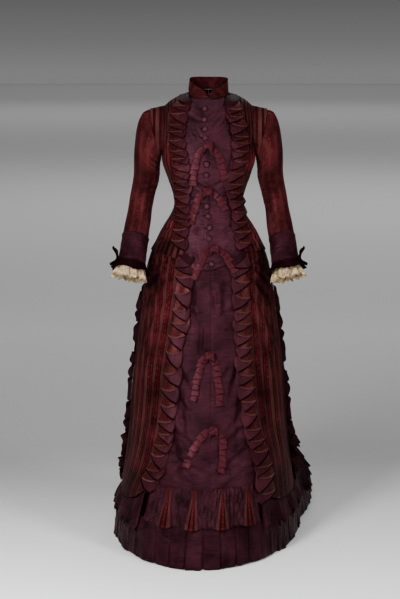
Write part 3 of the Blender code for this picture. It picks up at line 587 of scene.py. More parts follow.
def striped_silk(name, brightness=1.0, redness=0.0, specular=0.02, wide=False):
    """Satin and velvet stripes along the cloth, with small sprigs figured in the red ones, brighter red
    patches that are partly uneven tone and partly painted sheen, and painted highlights on the wide
    stripes.
    """
    tree, shader = new_material(name, 0.45, specular, RED_GLOSS)
    stripes, repeat, flush_and_sheen_strength = (WIDE_STRIPES, WIDE_REPEAT, 0.20) if wide else (STRIPES, STRIPE_REPEAT, 0.60)
    uv, across, along = cloth_axes(tree)
    place = weighted(tree, (across, 1.0), (streaks(tree, uv, 2.0, 12.0), 0.0012))
    place = math_node(tree, "FRACT", math_node(tree, "MULTIPLY", place, 1 / repeat))
    starts, colours, *others = zip(*stripes)
    reddened = [[part + redness * (red - part) for part, red in zip(colour, RED_DYE)]
                for colour in colours]
    colours = [tuple(brightness * part for part in colour) for colour in reddened]
    colour, rough, pile, in_figure = (
        ramp(tree, place, list(zip(starts, values)), "CONSTANT") for values in (colours, *others))
    sprigs = node(tree, "TexVoronoi", {"Vector": uv, "Scale": 170.0}, "Distance", feature="F1")
    figure = ramp(tree, sprigs, ((0.0, 2.2), (0.25, 1.5), (0.50, 0.45)))
    colour = mix_colours(tree, in_figure, colour, mix_colours(tree, 1.0, colour, figure, "MULTIPLY"))
    slow = ramp(tree, streaks(tree, uv, 14.0, 8.0), ((0.34, 0.42), (0.68, 1.95)))
    colour = mix_colours(tree, 1.0, colour, slow, "MULTIPLY")
    # Brighter red patches at random places: partly uneven tone, partly painted sheen of the crushed silk
    flush_and_sheen_patches = ramp(tree, streaks(tree, uv, 9.0, 22.0), ((0.50, 0.0), (0.72, flush_and_sheen_strength)))
    colour = mix_colours(tree, flush_and_sheen_patches, colour, RED_FLUSH_AND_SHEEN)
    # Painted highlights where the bodice silk lies tight
    if wide:
        colour = add_painted_sheen(tree, colour, BODICE_PAINTED_SHEEN)
    feed(tree, colour, shader.inputs["Base Color"])
    feed(tree, rough, shader.inputs["Roughness"])
    normal = add_bump(tree, shader, pile, 0.0003, 0.5)
    weave = weave_height(tree, across, along, WEAVE_PERIOD, 0.6)
    normal = add_bump(tree, shader, weave, 0.0001, 0.4, normal)
    add_bump(tree, shader, streaks(tree, uv, 60.0, 60.0, 4.0), 0.0009, 0.8, normal)


def figured_silk(name, dark, light):
    """Red silk with a close figure of small slanting sprigs."""
    tree, shader = new_material(name, 0.42, 0.16, FIGURED_GLOSS)
    uv, across, along = cloth_axes(tree)
    bars = math_node(tree, "SINE", weighted(tree, (across, 700.0), (along, 1000.0)))
    mixed = weighted(tree, (bars, 0.08), (noise(tree, uv, 260.0, 2.0), 1.0))
    bright = tuple(2.0 * part for part in light)
    colour = ramp(tree, mixed, ((0.34, dark), (0.52, light), (0.72, bright)))
    feed(tree, colour, shader.inputs["Base Color"])
    add_bump(tree, shader, mixed, 0.0004, 0.5)


def lace_net(name):
    """Cream lace: a net of fine threads with thicker flowers."""
    tree, shader = new_material(name, 0.85, 0.2, CREAM_GLOSS)
    uv, across, along = cloth_axes(tree)
    flowers = node(tree, "TexVoronoi", {"Vector": uv, "Scale": 150.0}, "Distance", feature="SMOOTH_F1")
    net = weave_height(tree, across, along, NET_PERIOD, 0.5)
    mixed = math_node(tree, "ADD", weighted(tree, (net, 0.12), (flowers, -1.0)), 0.85)
    colour = ramp(tree, mixed, ((0.0, (0.07, 0.042, 0.018)), (0.35, (0.30, 0.21, 0.12)),
                                (0.8, (0.52, 0.41, 0.26))))
    feed(tree, colour, shader.inputs["Base Color"])
    add_bump(tree, shader, mixed, 0.0009, 0.9)


SILKS = (
    # name, dark colour, light colour, roughness, other values of the silk
    ("plum_silk", (0.0042, 0.0008, 0.0015), (0.0300, 0.0064, 0.0110), 0.40,
     {"crinkle": 0.0024, "painted_sheen": VEST_PAINTED_SHEEN}),
    ("skirt_plum_silk", (0.0048, 0.0010, 0.0017), (0.0240, 0.0052, 0.0086), 0.46,
     {"crinkle": 0.0030, "specular": 0.07, "painted_sheen": SKIRT_PAINTED_SHEEN}),
    ("hem_plum_silk", (0.0046, 0.0010, 0.0018), (0.0235, 0.0054, 0.0090), 0.46,
     {"crinkle": 0.0034, "specular": 0.03}),
    # Dark plum cloth of the cuff frills, cuff bows, buttonholes and collar edge, also used as painted
    # shade at pleat turns, cascade edges, button feet and tucked-in flounce ends
    ("dark_plum_and_painted_shade_silk", (0.0030, 0.0007, 0.0012), (0.0075, 0.0018, 0.0030), 0.50,
     {"crinkle": 0.0012, "specular": 0.0}),
    ("ruffle_plum_silk", (0.0045, 0.0010, 0.0017), (0.0150, 0.0035, 0.0056), 0.50,
     {"crinkle": 0.0020, "specular": 0.02}),
    ("cascade_silk", (0.0080, 0.0016, 0.0025), (0.0310, 0.0066, 0.0098), 0.42, {"specular": 0.06}),
    # Painted highlight along the free edges of the cascades' figured folds
    ("painted_edge_highlight_silk", (0.030, 0.0085, 0.0075), (0.052, 0.0160, 0.0140), 0.42, {}),
    ("ribbon_silk", (0.0190, 0.0028, 0.0040), (0.0440, 0.0070, 0.0098), 0.36, {"rib": 0.9}),
    ("button_silk", (0.0240, 0.0060, 0.0098), (0.0420, 0.0112, 0.0180), 0.36, {}),
)


def make_materials():
    for name, dark, light, roughness, others in SILKS:
        silk(name, dark, light, roughness, **others)
    striped_silk("striped_silk", 1.10)
    striped_silk("striped_bodice_silk", 1.12, 0.10, 0.04, wide=True)
    striped_silk("striped_sleeve_silk", 1.18, 0.72)
    figured_silk("figured_silk", (0.0062, 0.0006, 0.0008), (0.0205, 0.0032, 0.0029))
    lace_net("lace")


# Meshes


def grid_object(name, points, uv, cloths, face_slots=None):
    """A mesh from a grid of points (rows, columns, 3), with its cloth coordinates and materials."""
    rows, columns = points.shape[:2]
    index = np.arange(rows * columns).reshape(rows, columns)
    quads = np.stack([index[:-1, :-1], index[:-1, 1:], index[1:, 1:], index[1:, :-1]], axis=-1)
    quads = quads.reshape(-1, 4)
    mesh = bpy.data.meshes.new(name)
    mesh.from_pydata(points.reshape(-1, 3).tolist(), [], quads.tolist())
    layer = mesh.uv_layers.new(name="cloth")
    layer.data.foreach_set("uv", uv.reshape(-1, 2)[quads.reshape(-1)].astype(np.float32).reshape(-1))
    mesh.shade_smooth()
    for cloth in cloths:
        mesh.materials.append(materials[cloth])
    if face_slots is not None:
        mesh.polygons.foreach_set("material_index", np.asarray(face_slots, dtype=np.int32).reshape(-1))
    made = bpy.data.objects.new(name, mesh)
    bpy.context.scene.collection.objects.link(made)
    return made


def joined(name, parts):
    """Several grid objects made one."""
    target = parts[0]
    with bpy.context.temp_override(active_object=target, selected_editable_objects=parts):
        bpy.ops.object.join()
    target.name = name
    target.data.name = name
    return target


def thicken(piece, thickness, offset=-1.0):
    solid = piece.modifiers.new("thickness", "SOLIDIFY")
    solid.thickness = thickness
    solid.offset = offset
    solid.use_even_offset = False


def place_piece(piece, nodes):
    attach(piece, "root")
    if nodes:
        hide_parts(*nodes)


def sew(name, points, uv, cloths, nodes, thickness=0.0, offset=-1.0, face_slots=None):
    """A piece of cloth from a grid of points, on the body in place of its solids."""
    piece = grid_object(name, points, uv, cloths, face_slots)
    if thickness:
        thicken(piece, thickness, offset)
    place_piece(piece, nodes)
    return piece


def cloth_uv(across, along):
    return np.stack(np.broadcast_arrays(across, along), axis=-1)


# Body panels


def seam_angle(level):
    return 0.5 * SEAM / form_point(math.pi / 2, level)[..., 0]


def panel_grid(bottom, top, left, right, rows, columns):
    """Angles and levels over a panel, half a seam in from its sides. Bottom takes the share across."""
    share = steps_across(columns)
    low = bottom(share)
    level = low + (top - low) * steps_down(rows)
    start, end = left(level) + seam_angle(level), right(level) - seam_angle(level)
    return start + (end - start) * share, level, share


def edge_line(edge, column):
    """A function of level that gives the angle of the left (0) or the right (1) edge of a table."""
    return lambda level: angle_at(edge(level)[..., column], level)


vest_left_edge, vest_right_edge = edge_line(vest_edge, 0), edge_line(vest_edge, 1)
skirt_left_edge, skirt_right_edge = edge_line(skirt_edge, 0), edge_line(skirt_edge, 1)


def armhole_turn(level):
    share = (level - ARMHOLE_LEVEL) / ARMHOLE_HALF_HEIGHT
    return ARMHOLE_HALF_ANGLE * np.sqrt(np.maximum(1 - share * share, 0.0))


def vest_bottom_at(x):
    return VEST_POINT_LEVEL + VEST_RISE * (np.abs(x) / VEST_RIGHT_REACH) ** VEST_RISE_POWER


HEM_WIDTH = 0.012
HEM_LIFT = 0.0014
VEST_HEM_LIFT = 0.0012
VEST_EDGE_LIFT = 0.0010


def hem_turn(level, bottom):
    """1 at the lower edge of a panel, down to 0 at the top of its turned hem."""
    return eased(level - bottom, HEM_WIDTH, 0.0)


VEST_CREASES = (
    # start (x, height), end (x, height), width, depth
    ((0.056, 1.322), (0.001, 1.262), 0.0042, 0.0030),
    ((0.052, 1.304), (-0.002, 1.243), 0.0046, 0.0026),
    ((0.040, 1.316), (0.006, 1.285), 0.0034, 0.0020),
    ((0.060, 1.272), (0.020, 1.226), 0.0060, 0.0018),
    ((-0.052, 1.318), (-0.014, 1.292), 0.0042, 0.0020),
    ((-0.058, 1.282), (-0.020, 1.262), 0.0054, 0.0016),
    ((-0.050, 1.250), (-0.022, 1.205), 0.0070, 0.0014),
    ((-0.040, 1.085), (-0.004, 1.066), 0.0050, 0.0022),
    ((0.048, 1.095), (0.012, 1.075), 0.0050, 0.0020),
    ((-0.050, 1.040), (-0.012, 1.022), 0.0044, 0.0022),
    ((0.050, 1.046), (0.016, 1.030), 0.0044, 0.0018),
    ((-0.056, 1.006), (-0.022, 1.000), 0.0040, 0.0014),
    ((-0.052, 0.962), (-0.020, 0.940), 0.0080, 0.0018),
    ((0.074, 0.960), (0.030, 0.930), 0.0090, 0.0020),
    ((0.066, 0.905), (0.036, 0.880), 0.0070, 0.0016),
    ((-0.045, 0.900), (-0.030, 0.862), 0.0070, 0.0016),
)
VEST_CREASE_GAIN = 1.7
BUTTONHOLE_START = 0.008
BUTTONHOLE_END = 0.0185
BUTTONHOLE_HALF_HEIGHT = 0.0013


def vest_folds(points):
    x, z = points[..., 0], points[..., 2] + NECK_HEIGHT
    total = 0.0009 * ripple(x * 60, z * 45, 1.3) + creases(x, z, VEST_CREASES, VEST_CREASE_GAIN)
    for level, button_x in BUTTONS:
        pull = np.exp(-((x - button_x) / 0.020) ** 2 - ((z - level) / 0.010) ** 2)
        total = total - 0.0006 * pull * np.cos((z - level) * 420)
    return total


def make_vest():
    def closure(level):
        return CLOSURE_ANGLE

    sides = (
        ("_left", vest_left_edge, closure, lambda share: vest_bottom_at(VEST_LEFT_REACH * (1 - share))),
        ("_right", closure, vest_right_edge, lambda share: vest_bottom_at(VEST_RIGHT_REACH * share)),
    )
    for side, left, right, bottom in sides:
        angle, level, share = panel_grid(bottom, NECK_LEVEL, left, right, 165, 34)
        folds = vest_folds(surface(angle, level, BODICE_OUT))
        hem = VEST_HEM_LIFT * hem_turn(level, bottom(share))
        roll = VEST_EDGE_LIFT * eased(share if side == "_left" else 1 - share, 0.90, 1.0)
        points = surface(angle, level, BODICE_OUT + folds + hem + roll)
        x, z = points[..., 0], points[..., 2] + NECK_HEIGHT
        holes = np.zeros(x.shape, bool)
        for hole_level, button_x in BUTTONS:
            beside = button_x - x
            holes |= ((beside > BUTTONHOLE_START) & (beside < BUTTONHOLE_END)
                      & (np.abs(z - hole_level) < BUTTONHOLE_HALF_HEIGHT))
        sew(f"vest{side}_cloth", points, cloth_uv(BODICE_STRIPE_RADIUS * angle, level),
            ["plum_silk", "dark_plum_and_painted_shade_silk"], ["vest" + side], PLUM_CLOTH,
            face_slots=holes[:-1, :-1].astype(int))


def yoke_angle(points, angle, level):
    """The angle that keeps stripes upright where the form draws in over the shoulder."""
    front = np.arcsin(np.clip(points[..., 0] / FORM[-1][1], -1.0, 1.0))
    behind = np.cos(angle) < 0
    upright = np.where(behind, np.where(angle > 0, math.pi, -math.pi) - front, front)
    return np.where(level > YOKE_LEVEL, upright, angle)


BACK_SEAM = math.radians(128)
BACK_SEAM_WIDTH = 0.018
BACK_SEAM_DEPTH = 0.0016
BODICE_CREASES = (
    # start (angle in degrees from the front, height), end, width in metres, depth
    ((34, 1.100), (70, 1.070), 0.0060, 0.0014),
    ((36, 1.075), (80, 1.052), 0.0048, 0.0018),
    ((34, 1.052), (84, 1.030), 0.0046, 0.0020),
    ((38, 1.034), (86, 1.012), 0.0040, 0.0018),
    ((42, 1.012), (88, 0.996), 0.0040, 0.0020),
    ((44, 0.992), (80, 0.972), 0.0056, 0.0022),
    ((40, 0.968), (84, 0.936), 0.0070, 0.0024),
    ((46, 0.936), (88, 0.906), 0.0070, 0.0020),
    ((62, 1.236), (52, 1.180), 0.0090, 0.0022),
    ((66, 1.180), (48, 1.140), 0.0080, 0.0016),
)


def bodice_folds(angle, level, side):
    """Creases of a bodice panel, laid out as it would be flat."""
    x = np.abs(angle) * BODICE_STRIPE_RADIUS
    waves = 0.0007 * ripple(x * 70, level * 60, 2.1 + side)
    scale = (math.radians(1) * BODICE_STRIPE_RADIUS, 1.0)
    return waves + creases(x, level, BODICE_CREASES, 1.0, scale, 0.008 * side)


def make_bodice_fronts():
    left_end, right_end = vest_bottom_at(VEST_LEFT_REACH), vest_bottom_at(VEST_RIGHT_REACH)
    sides = (
        ("_left", -1, lambda level: armhole_turn(level) - SIDE_SEAM, vest_left_edge,
         lambda share: BASQUE_SIDE_LEVEL + (left_end - BASQUE_SIDE_LEVEL) * share ** 2),
        ("_right", 1, vest_right_edge, lambda level: SIDE_SEAM - armhole_turn(level),
         lambda share: BASQUE_SIDE_LEVEL + (right_end - BASQUE_SIDE_LEVEL) * (1 - share) ** 2),
    )
    for suffix, side, left, right, bottom in sides:
        angle, level, share = panel_grid(bottom, NECK_LEVEL, left, right, 145, 44)
        hem = HEM_LIFT * hem_turn(level, bottom(share))
        points = surface(angle, level, BODICE_OUT + bodice_folds(angle, level, side) + hem)
        upright = yoke_angle(points, angle, level)
        uv = cloth_uv(BODICE_STRIPE_RADIUS * upright + 0.008 - 0.0087 * side, level)
        sew(f"bodice_front{suffix}_cloth", points, uv, ["striped_bodice_silk"],
            ["bodice_front" + suffix], STRIPED_CLOTH)


def make_bodice_backs():
    def bottom(share):
        return BASQUE_SIDE_LEVEL + (BASQUE_BACK_LEVEL - BASQUE_SIDE_LEVEL) * share

    for side, suffix in SIDES:
        angle, level, share = panel_grid(bottom, NECK_LEVEL, lambda level: SIDE_SEAM + armhole_turn(level),
                                         lambda level: math.pi, 125, 40)
        folds = 0.0007 * ripple(angle * 9, level * 60, 5.0 + side)
        beside = angle - BACK_SEAM - 0.5 * eased(level, 1.05, 1.28)
        seams = BACK_SEAM_DEPTH * np.exp(-(beside / BACK_SEAM_WIDTH) ** 2)
        hem = HEM_LIFT * hem_turn(level, bottom(share))
        points = surface(angle, level, BODICE_OUT + folds - seams + hem)
        upright = yoke_angle(points, angle, level)
        uv = cloth_uv(BODICE_STRIPE_RADIUS * (math.pi - upright) + 0.005, level)
        if side < 0:
            points, uv = points[:, ::-1] * MIRROR, uv[:, ::-1]
        sew(f"bodice_back{suffix}_cloth", points, uv, ["striped_bodice_silk"],
            ["bodice_back" + suffix], STRIPED_CLOTH)


def collar_height(turn):
    rise = np.sin(np.minimum(turn / COLLAR_NOTCH_TURN, 1.0) * math.pi / 2) ** 0.55
    drop = COLLAR_BACK_DROP * eased(turn, math.pi / 2, math.pi)
    return COLLAR_NOTCH + (COLLAR_HEIGHT - COLLAR_NOTCH) * rise - drop


COLLAR_CLOTH = 0.0016
COLLAR_EDGE = 0.90


def make_collar():
    """The stand collar: rounded front corners and a rolled top edge."""
    turn = steps_across(160, COLLAR_GAP_TURN, TURN - COLLAR_GAP_TURN)
    share = steps_down(17)
    base = surface(CLOSURE_ANGLE + turn, NECK_LEVEL, BODICE_OUT + SEAM)
    height = collar_height(np.minimum(turn, TURN - turn))
    shrink = 1 - COLLAR_TAPER * share
    bow = 0.0012 * np.sin(math.pi * share) + 0.0010 * ripple(turn * 7, share * 3, 4.2)
    roll = 0.0012 * eased(share, 0.88, 0.97)
    outward = unit(base * np.array([1.0, 1.0, 0.0]))
    points = base * np.stack([shrink, shrink, np.ones_like(shrink)], axis=-1)
    points[..., 2] += height * share
    points = points + outward * (bow + roll)[..., None]
    slant = np.sign(math.pi - turn) * share * COLLAR_HEIGHT
    uv = cloth_uv(turn * NECK_HALF_WIDTH + 0.8 * slant, share * COLLAR_HEIGHT)
    edge = (share[:-1] > COLLAR_EDGE) + 0 * turn[:, :-1]
    sew("collar_cloth", points, uv, ["striped_sleeve_silk", "dark_plum_and_painted_shade_silk"], ["collar"],
        COLLAR_CLOTH, face_slots=edge.astype(int))


# Sleeves


def sleeve_centre(row):
    middle_x, middle_height = (row[..., 0] + row[..., 2]) / 2, (row[..., 1] + row[..., 3]) / 2
    return np.stack([middle_x, row[..., 4], middle_height - NECK_HEIGHT], axis=-1)


def sleeve_point(turn, place, out=0.0):
    """Points on the right sleeve. Place counts rows of the table and turn starts at the outer edge."""
    turn, place, out = np.broadcast_arrays(*(np.asarray(v, float) for v in (turn, place, out)))
    row = sleeve_row(place)
    along = unit(sleeve_centre(sleeve_row(place + 0.4)) - sleeve_centre(sleeve_row(place - 0.4)))
    centre = sleeve_centre(row)
    outer = np.stack([row[..., 0], row[..., 4], row[..., 1] - NECK_HEIGHT], axis=-1)
    wide = outer - centre
    front = unit(np.cross(along, wide))
    front = np.where(front[..., 1:2] > 0, -front, front)
    half = np.linalg.norm(wide, axis=-1)
    across = wide * (1 + out / half)[..., None]
    depth = (row[..., 5] + out)[..., None]
    return centre + across * np.cos(turn)[..., None] + front * depth * np.sin(turn)[..., None]


def armhole_ring(turn):
    fit = 1 - 2 * SEAM / ARMHOLE_HALF_HEIGHT
    level = ARMHOLE_LEVEL + ARMHOLE_HALF_HEIGHT * fit * np.cos(turn)
    angle = SIDE_SEAM - ARMHOLE_HALF_ANGLE * fit * np.sin(turn)
    return surface(angle, level, BODICE_OUT)


SLEEVE_CREASES = (
    # turn in degrees and row where it starts, and where it ends, width in metres, depth
    ((150, 5.0), (60, 5.7), 0.0060, 0.0032),
    ((165, 5.5), (70, 6.0), 0.0055, 0.0036),
    ((170, 6.0), (75, 6.3), 0.0050, 0.0036),
    ((165, 6.5), (60, 6.7), 0.0055, 0.0034),
    ((150, 7.0), (50, 7.0), 0.0060, 0.0028),
    ((140, 7.7), (70, 7.4), 0.0060, 0.0020),
    ((130, 8.3), (50, 8.1), 0.0060, 0.0018),
    ((175, 2.2), (110, 2.9), 0.0070, 0.0036),
    ((170, 3.0), (100, 3.5), 0.0070, 0.0030),
    ((160, 3.8), (80, 4.2), 0.0070, 0.0024),
    ((60, 2.0), (90, 3.6), 0.0080, 0.0020),
    ((30, 3.0), (40, 5.0), 0.0090, 0.0018),
)
SLEEVE_ROW_LENGTH = 0.040
SLEEVE_RADIUS = 0.042


def sleeve_folds(turn, place, side):
    x, z = turn * SLEEVE_RADIUS, place * SLEEVE_ROW_LENGTH
    total = 0.0010 * ripple(x * 60, z * 40, 7.0 + side)
    for mirror, amount in ((1, 1.0), (-1, 0.7)):
        scale = (math.radians(1) * SLEEVE_RADIUS * mirror, SLEEVE_ROW_LENGTH)
        total = total + creases(x, z, SLEEVE_CREASES, amount, scale, 0.25 * side)
    return total


def sleeve_cloth(turn, place, out, radius, shift=0.0):
    """Points of a tube of cloth round the arm, and its cloth coordinates."""
    points = sleeve_point(turn, place, out)
    along = lengths_along(points, 0).mean(axis=1, keepdims=True)
    return points, cloth_uv(turn * radius + shift, along)


def both_sleeves(name, make, thickness, cloth, nodes=None):
    """The right piece from make(side), and the left one mirrored from its own variant."""
    for side, suffix in SIDES:
        points, uv = make(side)
        if side > 0:
            points, uv = points[:, ::-1], uv[:, ::-1]
        else:
            points = points * MIRROR
        solids = [base + suffix for base in ([name] if nodes is None else nodes)]
        sew(name + suffix + "_cloth", points, uv, [cloth], solids, thickness)


SHOULDER_ROW = 1.15
SHOULDER_ROUND = 0.0030
LACE_CLOTH = 0.0005
CUFF_BOW_CLOTH = 0.0010
CUFF_BOW_ROW = 10.75
CUFF_BOW_REACH = 0.72
CUFF_BOW_TURN = 0.55


def make_sleeves():
    def body(side):
        turn = steps_across(90, -math.pi, math.pi)
        place = steps_down(104, SLEEVE_END_ROW, SHOULDER_ROW)
        end_fade = eased(place, SLEEVE_END_ROW, SLEEVE_END_ROW - 0.4)
        head = eased(place, 2.4, SHOULDER_ROW)
        top = np.clip(np.cos(turn) + 0.3, 0, 1)
        puff = 0.0012 * top * np.sin(math.pi * np.clip(head, 0, 1) ** 0.7)
        gathers = 0.0015 * head * top * np.cos(turn * 24 + 1.5 * np.sin(turn * 3))
        tuck = -0.0030 * eased(place, SHOULDER_ROW + 0.16, SHOULDER_ROW)
        tuck = tuck - SHOULDER_ROUND * top * eased(place, SHOULDER_ROW + 1.1, SHOULDER_ROW) ** 2
        folds = sleeve_folds(turn, place, side) * end_fade
        return sleeve_cloth(turn, place, folds + puff + gathers + tuck, SLEEVE_RADIUS, 0.009)

    def shoulder(side):
        turn = np.linspace(-math.pi, math.pi, 100)
        top = np.clip(np.cos(turn) + 0.3, 0, 1)
        edge = sleeve_point(turn, SHOULDER_ROW - 0.02, 0.0004 - SHOULDER_ROUND * top)
        share = steps_down(14)[:, :, None]
        points = edge * (1 - share) + armhole_ring(turn) * share
        roll = 0.0010 * np.exp(-(share / 0.10) ** 2)
        points = points + unit(edge - sleeve_centre(sleeve_row(SHOULDER_ROW + 0.4))) * roll
        upright = np.where(points[..., 1] < 0.02, 1.0, -1.0)
        return points, cloth_uv(0.1607 + upright * (points[..., 0] - 0.125), points[..., 2])

    both_sleeves("sleeve", body, STRIPED_CLOTH,
                 "striped_sleeve_silk", ["sleeve_top", "sleeve_under"])
    both_sleeves("shoulder", shoulder, STRIPED_CLOTH,
                 "striped_bodice_silk", [])


def make_cuffs():
    def cuff(side):
        turn = steps_across(90, -math.pi, math.pi)
        place = steps_down(26, CUFF_END_ROW, SLEEVE_END_ROW - 0.12)
        top_roll = 0.0012 * eased(place, SLEEVE_END_ROW + 0.2, SLEEVE_END_ROW - 0.1)
        folds = 0.0012 * ripple(turn * 3, place * 3, 9 + side)
        return sleeve_cloth(turn, place, CUFF_OUT + folds + top_roll, SLEEVE_RADIUS)

    def frill(side):
        turn = steps_across(240, -math.pi, math.pi)
        spread = steps_down(12, 1, -0.15)
        place = CUFF_END_ROW + spread * (CUFF_FRILL_END_ROW - CUFF_END_ROW)
        wide = np.maximum(spread, 0.0)
        knife = np.abs(np.remainder(turn * 22 / TURN + 0.1 * np.sin(turn * 3), 1.0) - 0.3)
        out = CUFF_OUT + 0.0014 + 0.013 * wide + 0.007 * wide * (0.6 - knife)
        return sleeve_cloth(turn, place + 0.10 * wide * np.sin(turn * 5 + side), out, 0.08)

    def lace(side):
        turn = steps_across(300, -math.pi, math.pi)
        spread = steps_down(18, 1, 0)
        scallop = 0.30 * np.abs(np.sin(turn * 9 + 0.6 * np.sin(turn * 4))) * eased(spread, 0.5, 1.0)
        place = LACE_START_ROW + spread * (LACE_END_ROW - LACE_START_ROW) + scallop - 0.12
        wave = np.cos(turn * 13 + 1.4 * np.sin(turn * 2 + side)) + 0.25 * np.cos(turn * 31 + 2 * side)
        out = LACE_TUCK + (0.007 + 0.0080 * wave) * spread ** 1.4
        return sleeve_cloth(turn, np.maximum(place, LACE_START_ROW), out, 0.06)

    def bow(side):
        """A pinched ribbon bow on the outer side of the cuff, its ends standing away as points."""
        share = steps_down(61, -1, 1)
        across = steps_across(17, -1, 1)
        pinch = 0.30 + 0.70 * np.sin(math.pi * np.minimum(np.abs(share), 0.85))
        flare = 0.0030 + 0.0190 * np.abs(share) ** 1.6
        pleats = 0.0030 * np.cos(across * 7 + share) * (1 - np.abs(share)) ** 0.5
        turn = CUFF_BOW_TURN * across * pinch
        place = CUFF_BOW_ROW + CUFF_BOW_REACH * share
        points = sleeve_point(turn, place + 0 * across, CUFF_OUT + flare + pleats)
        return points, cloth_uv(share * 0.06, across * 0.02)

    both_sleeves("cuff", cuff, STRIPED_CLOTH, "hem_plum_silk")
    both_sleeves("cuff_frill", frill, FRILL_CLOTH, "dark_plum_and_painted_shade_silk")
    both_sleeves("lace", lace, LACE_CLOTH, "lace")
    both_sleeves("cuff_bow", bow, CUFF_BOW_CLOTH, "dark_plum_and_painted_shade_silk")


# Skirt


SKIRT_CREASES = (
    # start (x, height), end (x, height), width, depth
    ((0.128, 0.330), (0.006, 0.246), 0.0120, 0.0060),
    ((-0.140, 0.322), (0.000, 0.252), 0.0110, 0.0050),
    ((-0.122, 0.395), (-0.020, 0.318), 0.0100, 0.0040),
    ((0.112, 0.395), (0.030, 0.330), 0.0090, 0.0044),
    ((0.100, 0.440), (0.058, 0.375), 0.0090, 0.0040),
    ((0.098, 0.610), (0.062, 0.470), 0.0080, 0.0044),
    ((-0.020, 0.690), (-0.024, 0.600), 0.0060, 0.0030),
    ((-0.078, 0.655), (-0.028, 0.648), 0.0042, 0.0016),
    ((-0.075, 0.735), (-0.030, 0.700), 0.0060, 0.0022),
    ((0.030, 0.705), (0.085, 0.730), 0.0060, 0.0020),
    ((-0.090, 0.560), (-0.060, 0.500), 0.0090, 0.0030),
    ((-0.100, 0.470), (-0.050, 0.430), 0.0080, 0.0030),
    ((0.012, 0.800), (0.024, 0.720), 0.0070, 0.0034),
    ((0.050, 0.815), (0.044, 0.700), 0.0090, 0.0032),
    ((-0.046, 0.815), (-0.052, 0.700), 0.0090, 0.0028),
    ((0.070, 0.560), (0.030, 0.520), 0.0080, 0.0024),
    ((0.060, 0.300), (0.120, 0.262), 0.0080, 0.0024),
    ((-0.060, 0.300), (-0.120, 0.262), 0.0090, 0.0024),
    ((0.130, 0.296), (0.002, 0.240), 0.0200, -0.0050),
    ((-0.112, 0.420), (-0.084, 0.250), 0.0120, 0.0046),
    ((-0.086, 0.500), (-0.072, 0.360), 0.0090, 0.0036),
    ((0.090, 0.480), (0.084, 0.330), 0.0080, 0.0034),
)
SKIRT_CREASE_GAIN = 1.5
SKIRT_SEAM_X = 0.008


def make_skirt_front():
    def bottom(share):
        return FRONT_PANEL_LEVEL - 0.004 + 0 * share

    angle, level, _ = panel_grid(bottom, SKIRT_TOP_LEVEL, skirt_left_edge, skirt_right_edge, 190, 90)
    flat = surface(angle, level)
    x, z = flat[..., 0], flat[..., 2] + NECK_HEIGHT
    folds = 0.0018 * ripple(x * 26, z * 16, 3.3) + creases(x, z, SKIRT_CREASES, SKIRT_CREASE_GAIN)
    seam = np.exp(-((x - SKIRT_SEAM_X) / 0.0022) ** 2)
    puckers = np.exp(-((x - SKIRT_SEAM_X) / 0.012) ** 2) * np.sin(z * 330 + 3 * np.sin(z * 60))
    folds = folds - 0.0018 * seam + 0.0008 * puckers
    points = surface(angle, level, SKIRT_OUT + folds * eased(level, SKIRT_TOP_LEVEL, 0.86))
    sew("skirt_front_cloth", points, cloth_uv(points[..., 0], level), ["skirt_plum_silk"],
        ["skirt_front"])


SWAGS = (
    # share across the side panel and height where it starts, and where it ends, width, depth
    ((0.02, 0.845), (0.95, 0.700), 0.010, 0.0050),
    ((0.02, 0.862), (0.98, 0.770), 0.009, 0.0046),
    ((0.02, 0.825), (0.75, 0.600), 0.011, 0.0044),
    ((0.05, 0.870), (0.98, 0.830), 0.008, 0.0040),
    ((0.10, 0.780), (0.60, 0.500), 0.012, 0.0036),
    ((0.30, 0.620), (0.38, 0.300), 0.012, 0.0030),
    ((0.60, 0.560), (0.66, 0.240), 0.012, 0.0030),
    ((0.85, 0.640), (0.86, 0.300), 0.011, 0.0030),
)
SIDE_CLOTH_WIDTH = 0.190


def make_skirt_sides():
    def corner(distance):
        return SIDE_PANEL_LEVEL + SIDE_CORNER_RISE * (1 - distance) ** 5

    sides = (
        ("_left", 0.8, lambda level: -SIDE_SEAM, skirt_left_edge, lambda share: corner(1 - share)),
        ("_right", 1.0, skirt_right_edge, lambda level: SIDE_SEAM, corner),
    )
    for suffix, amount, left, right, bottom in sides:
        angle, level, share = panel_grid(bottom, SKIRT_TOP_LEVEL, left, right, 195, 60)
        from_front = share if suffix == "_right" else 1 - share
        x = from_front * SIDE_CLOTH_WIDTH
        folds = 0.0020 * ripple(x * 34, level * 11, 6.1 + amount)
        folds = folds + creases(x, level, SWAGS, amount, (SIDE_CLOTH_WIDTH, 1.0))
        folds = folds * eased(level, SKIRT_TOP_LEVEL, 0.90)
        edges = eased(from_front, 0.0, 0.06) * eased(from_front, 1.0, 0.95)
        points = surface(angle, level, SIDE_PANEL_OUT + folds * edges)
        sew(f"skirt_side{suffix}_cloth", points, cloth_uv(x + 0.004, level), ["striped_silk"],
            ["skirt_side" + suffix], PLUM_CLOTH)


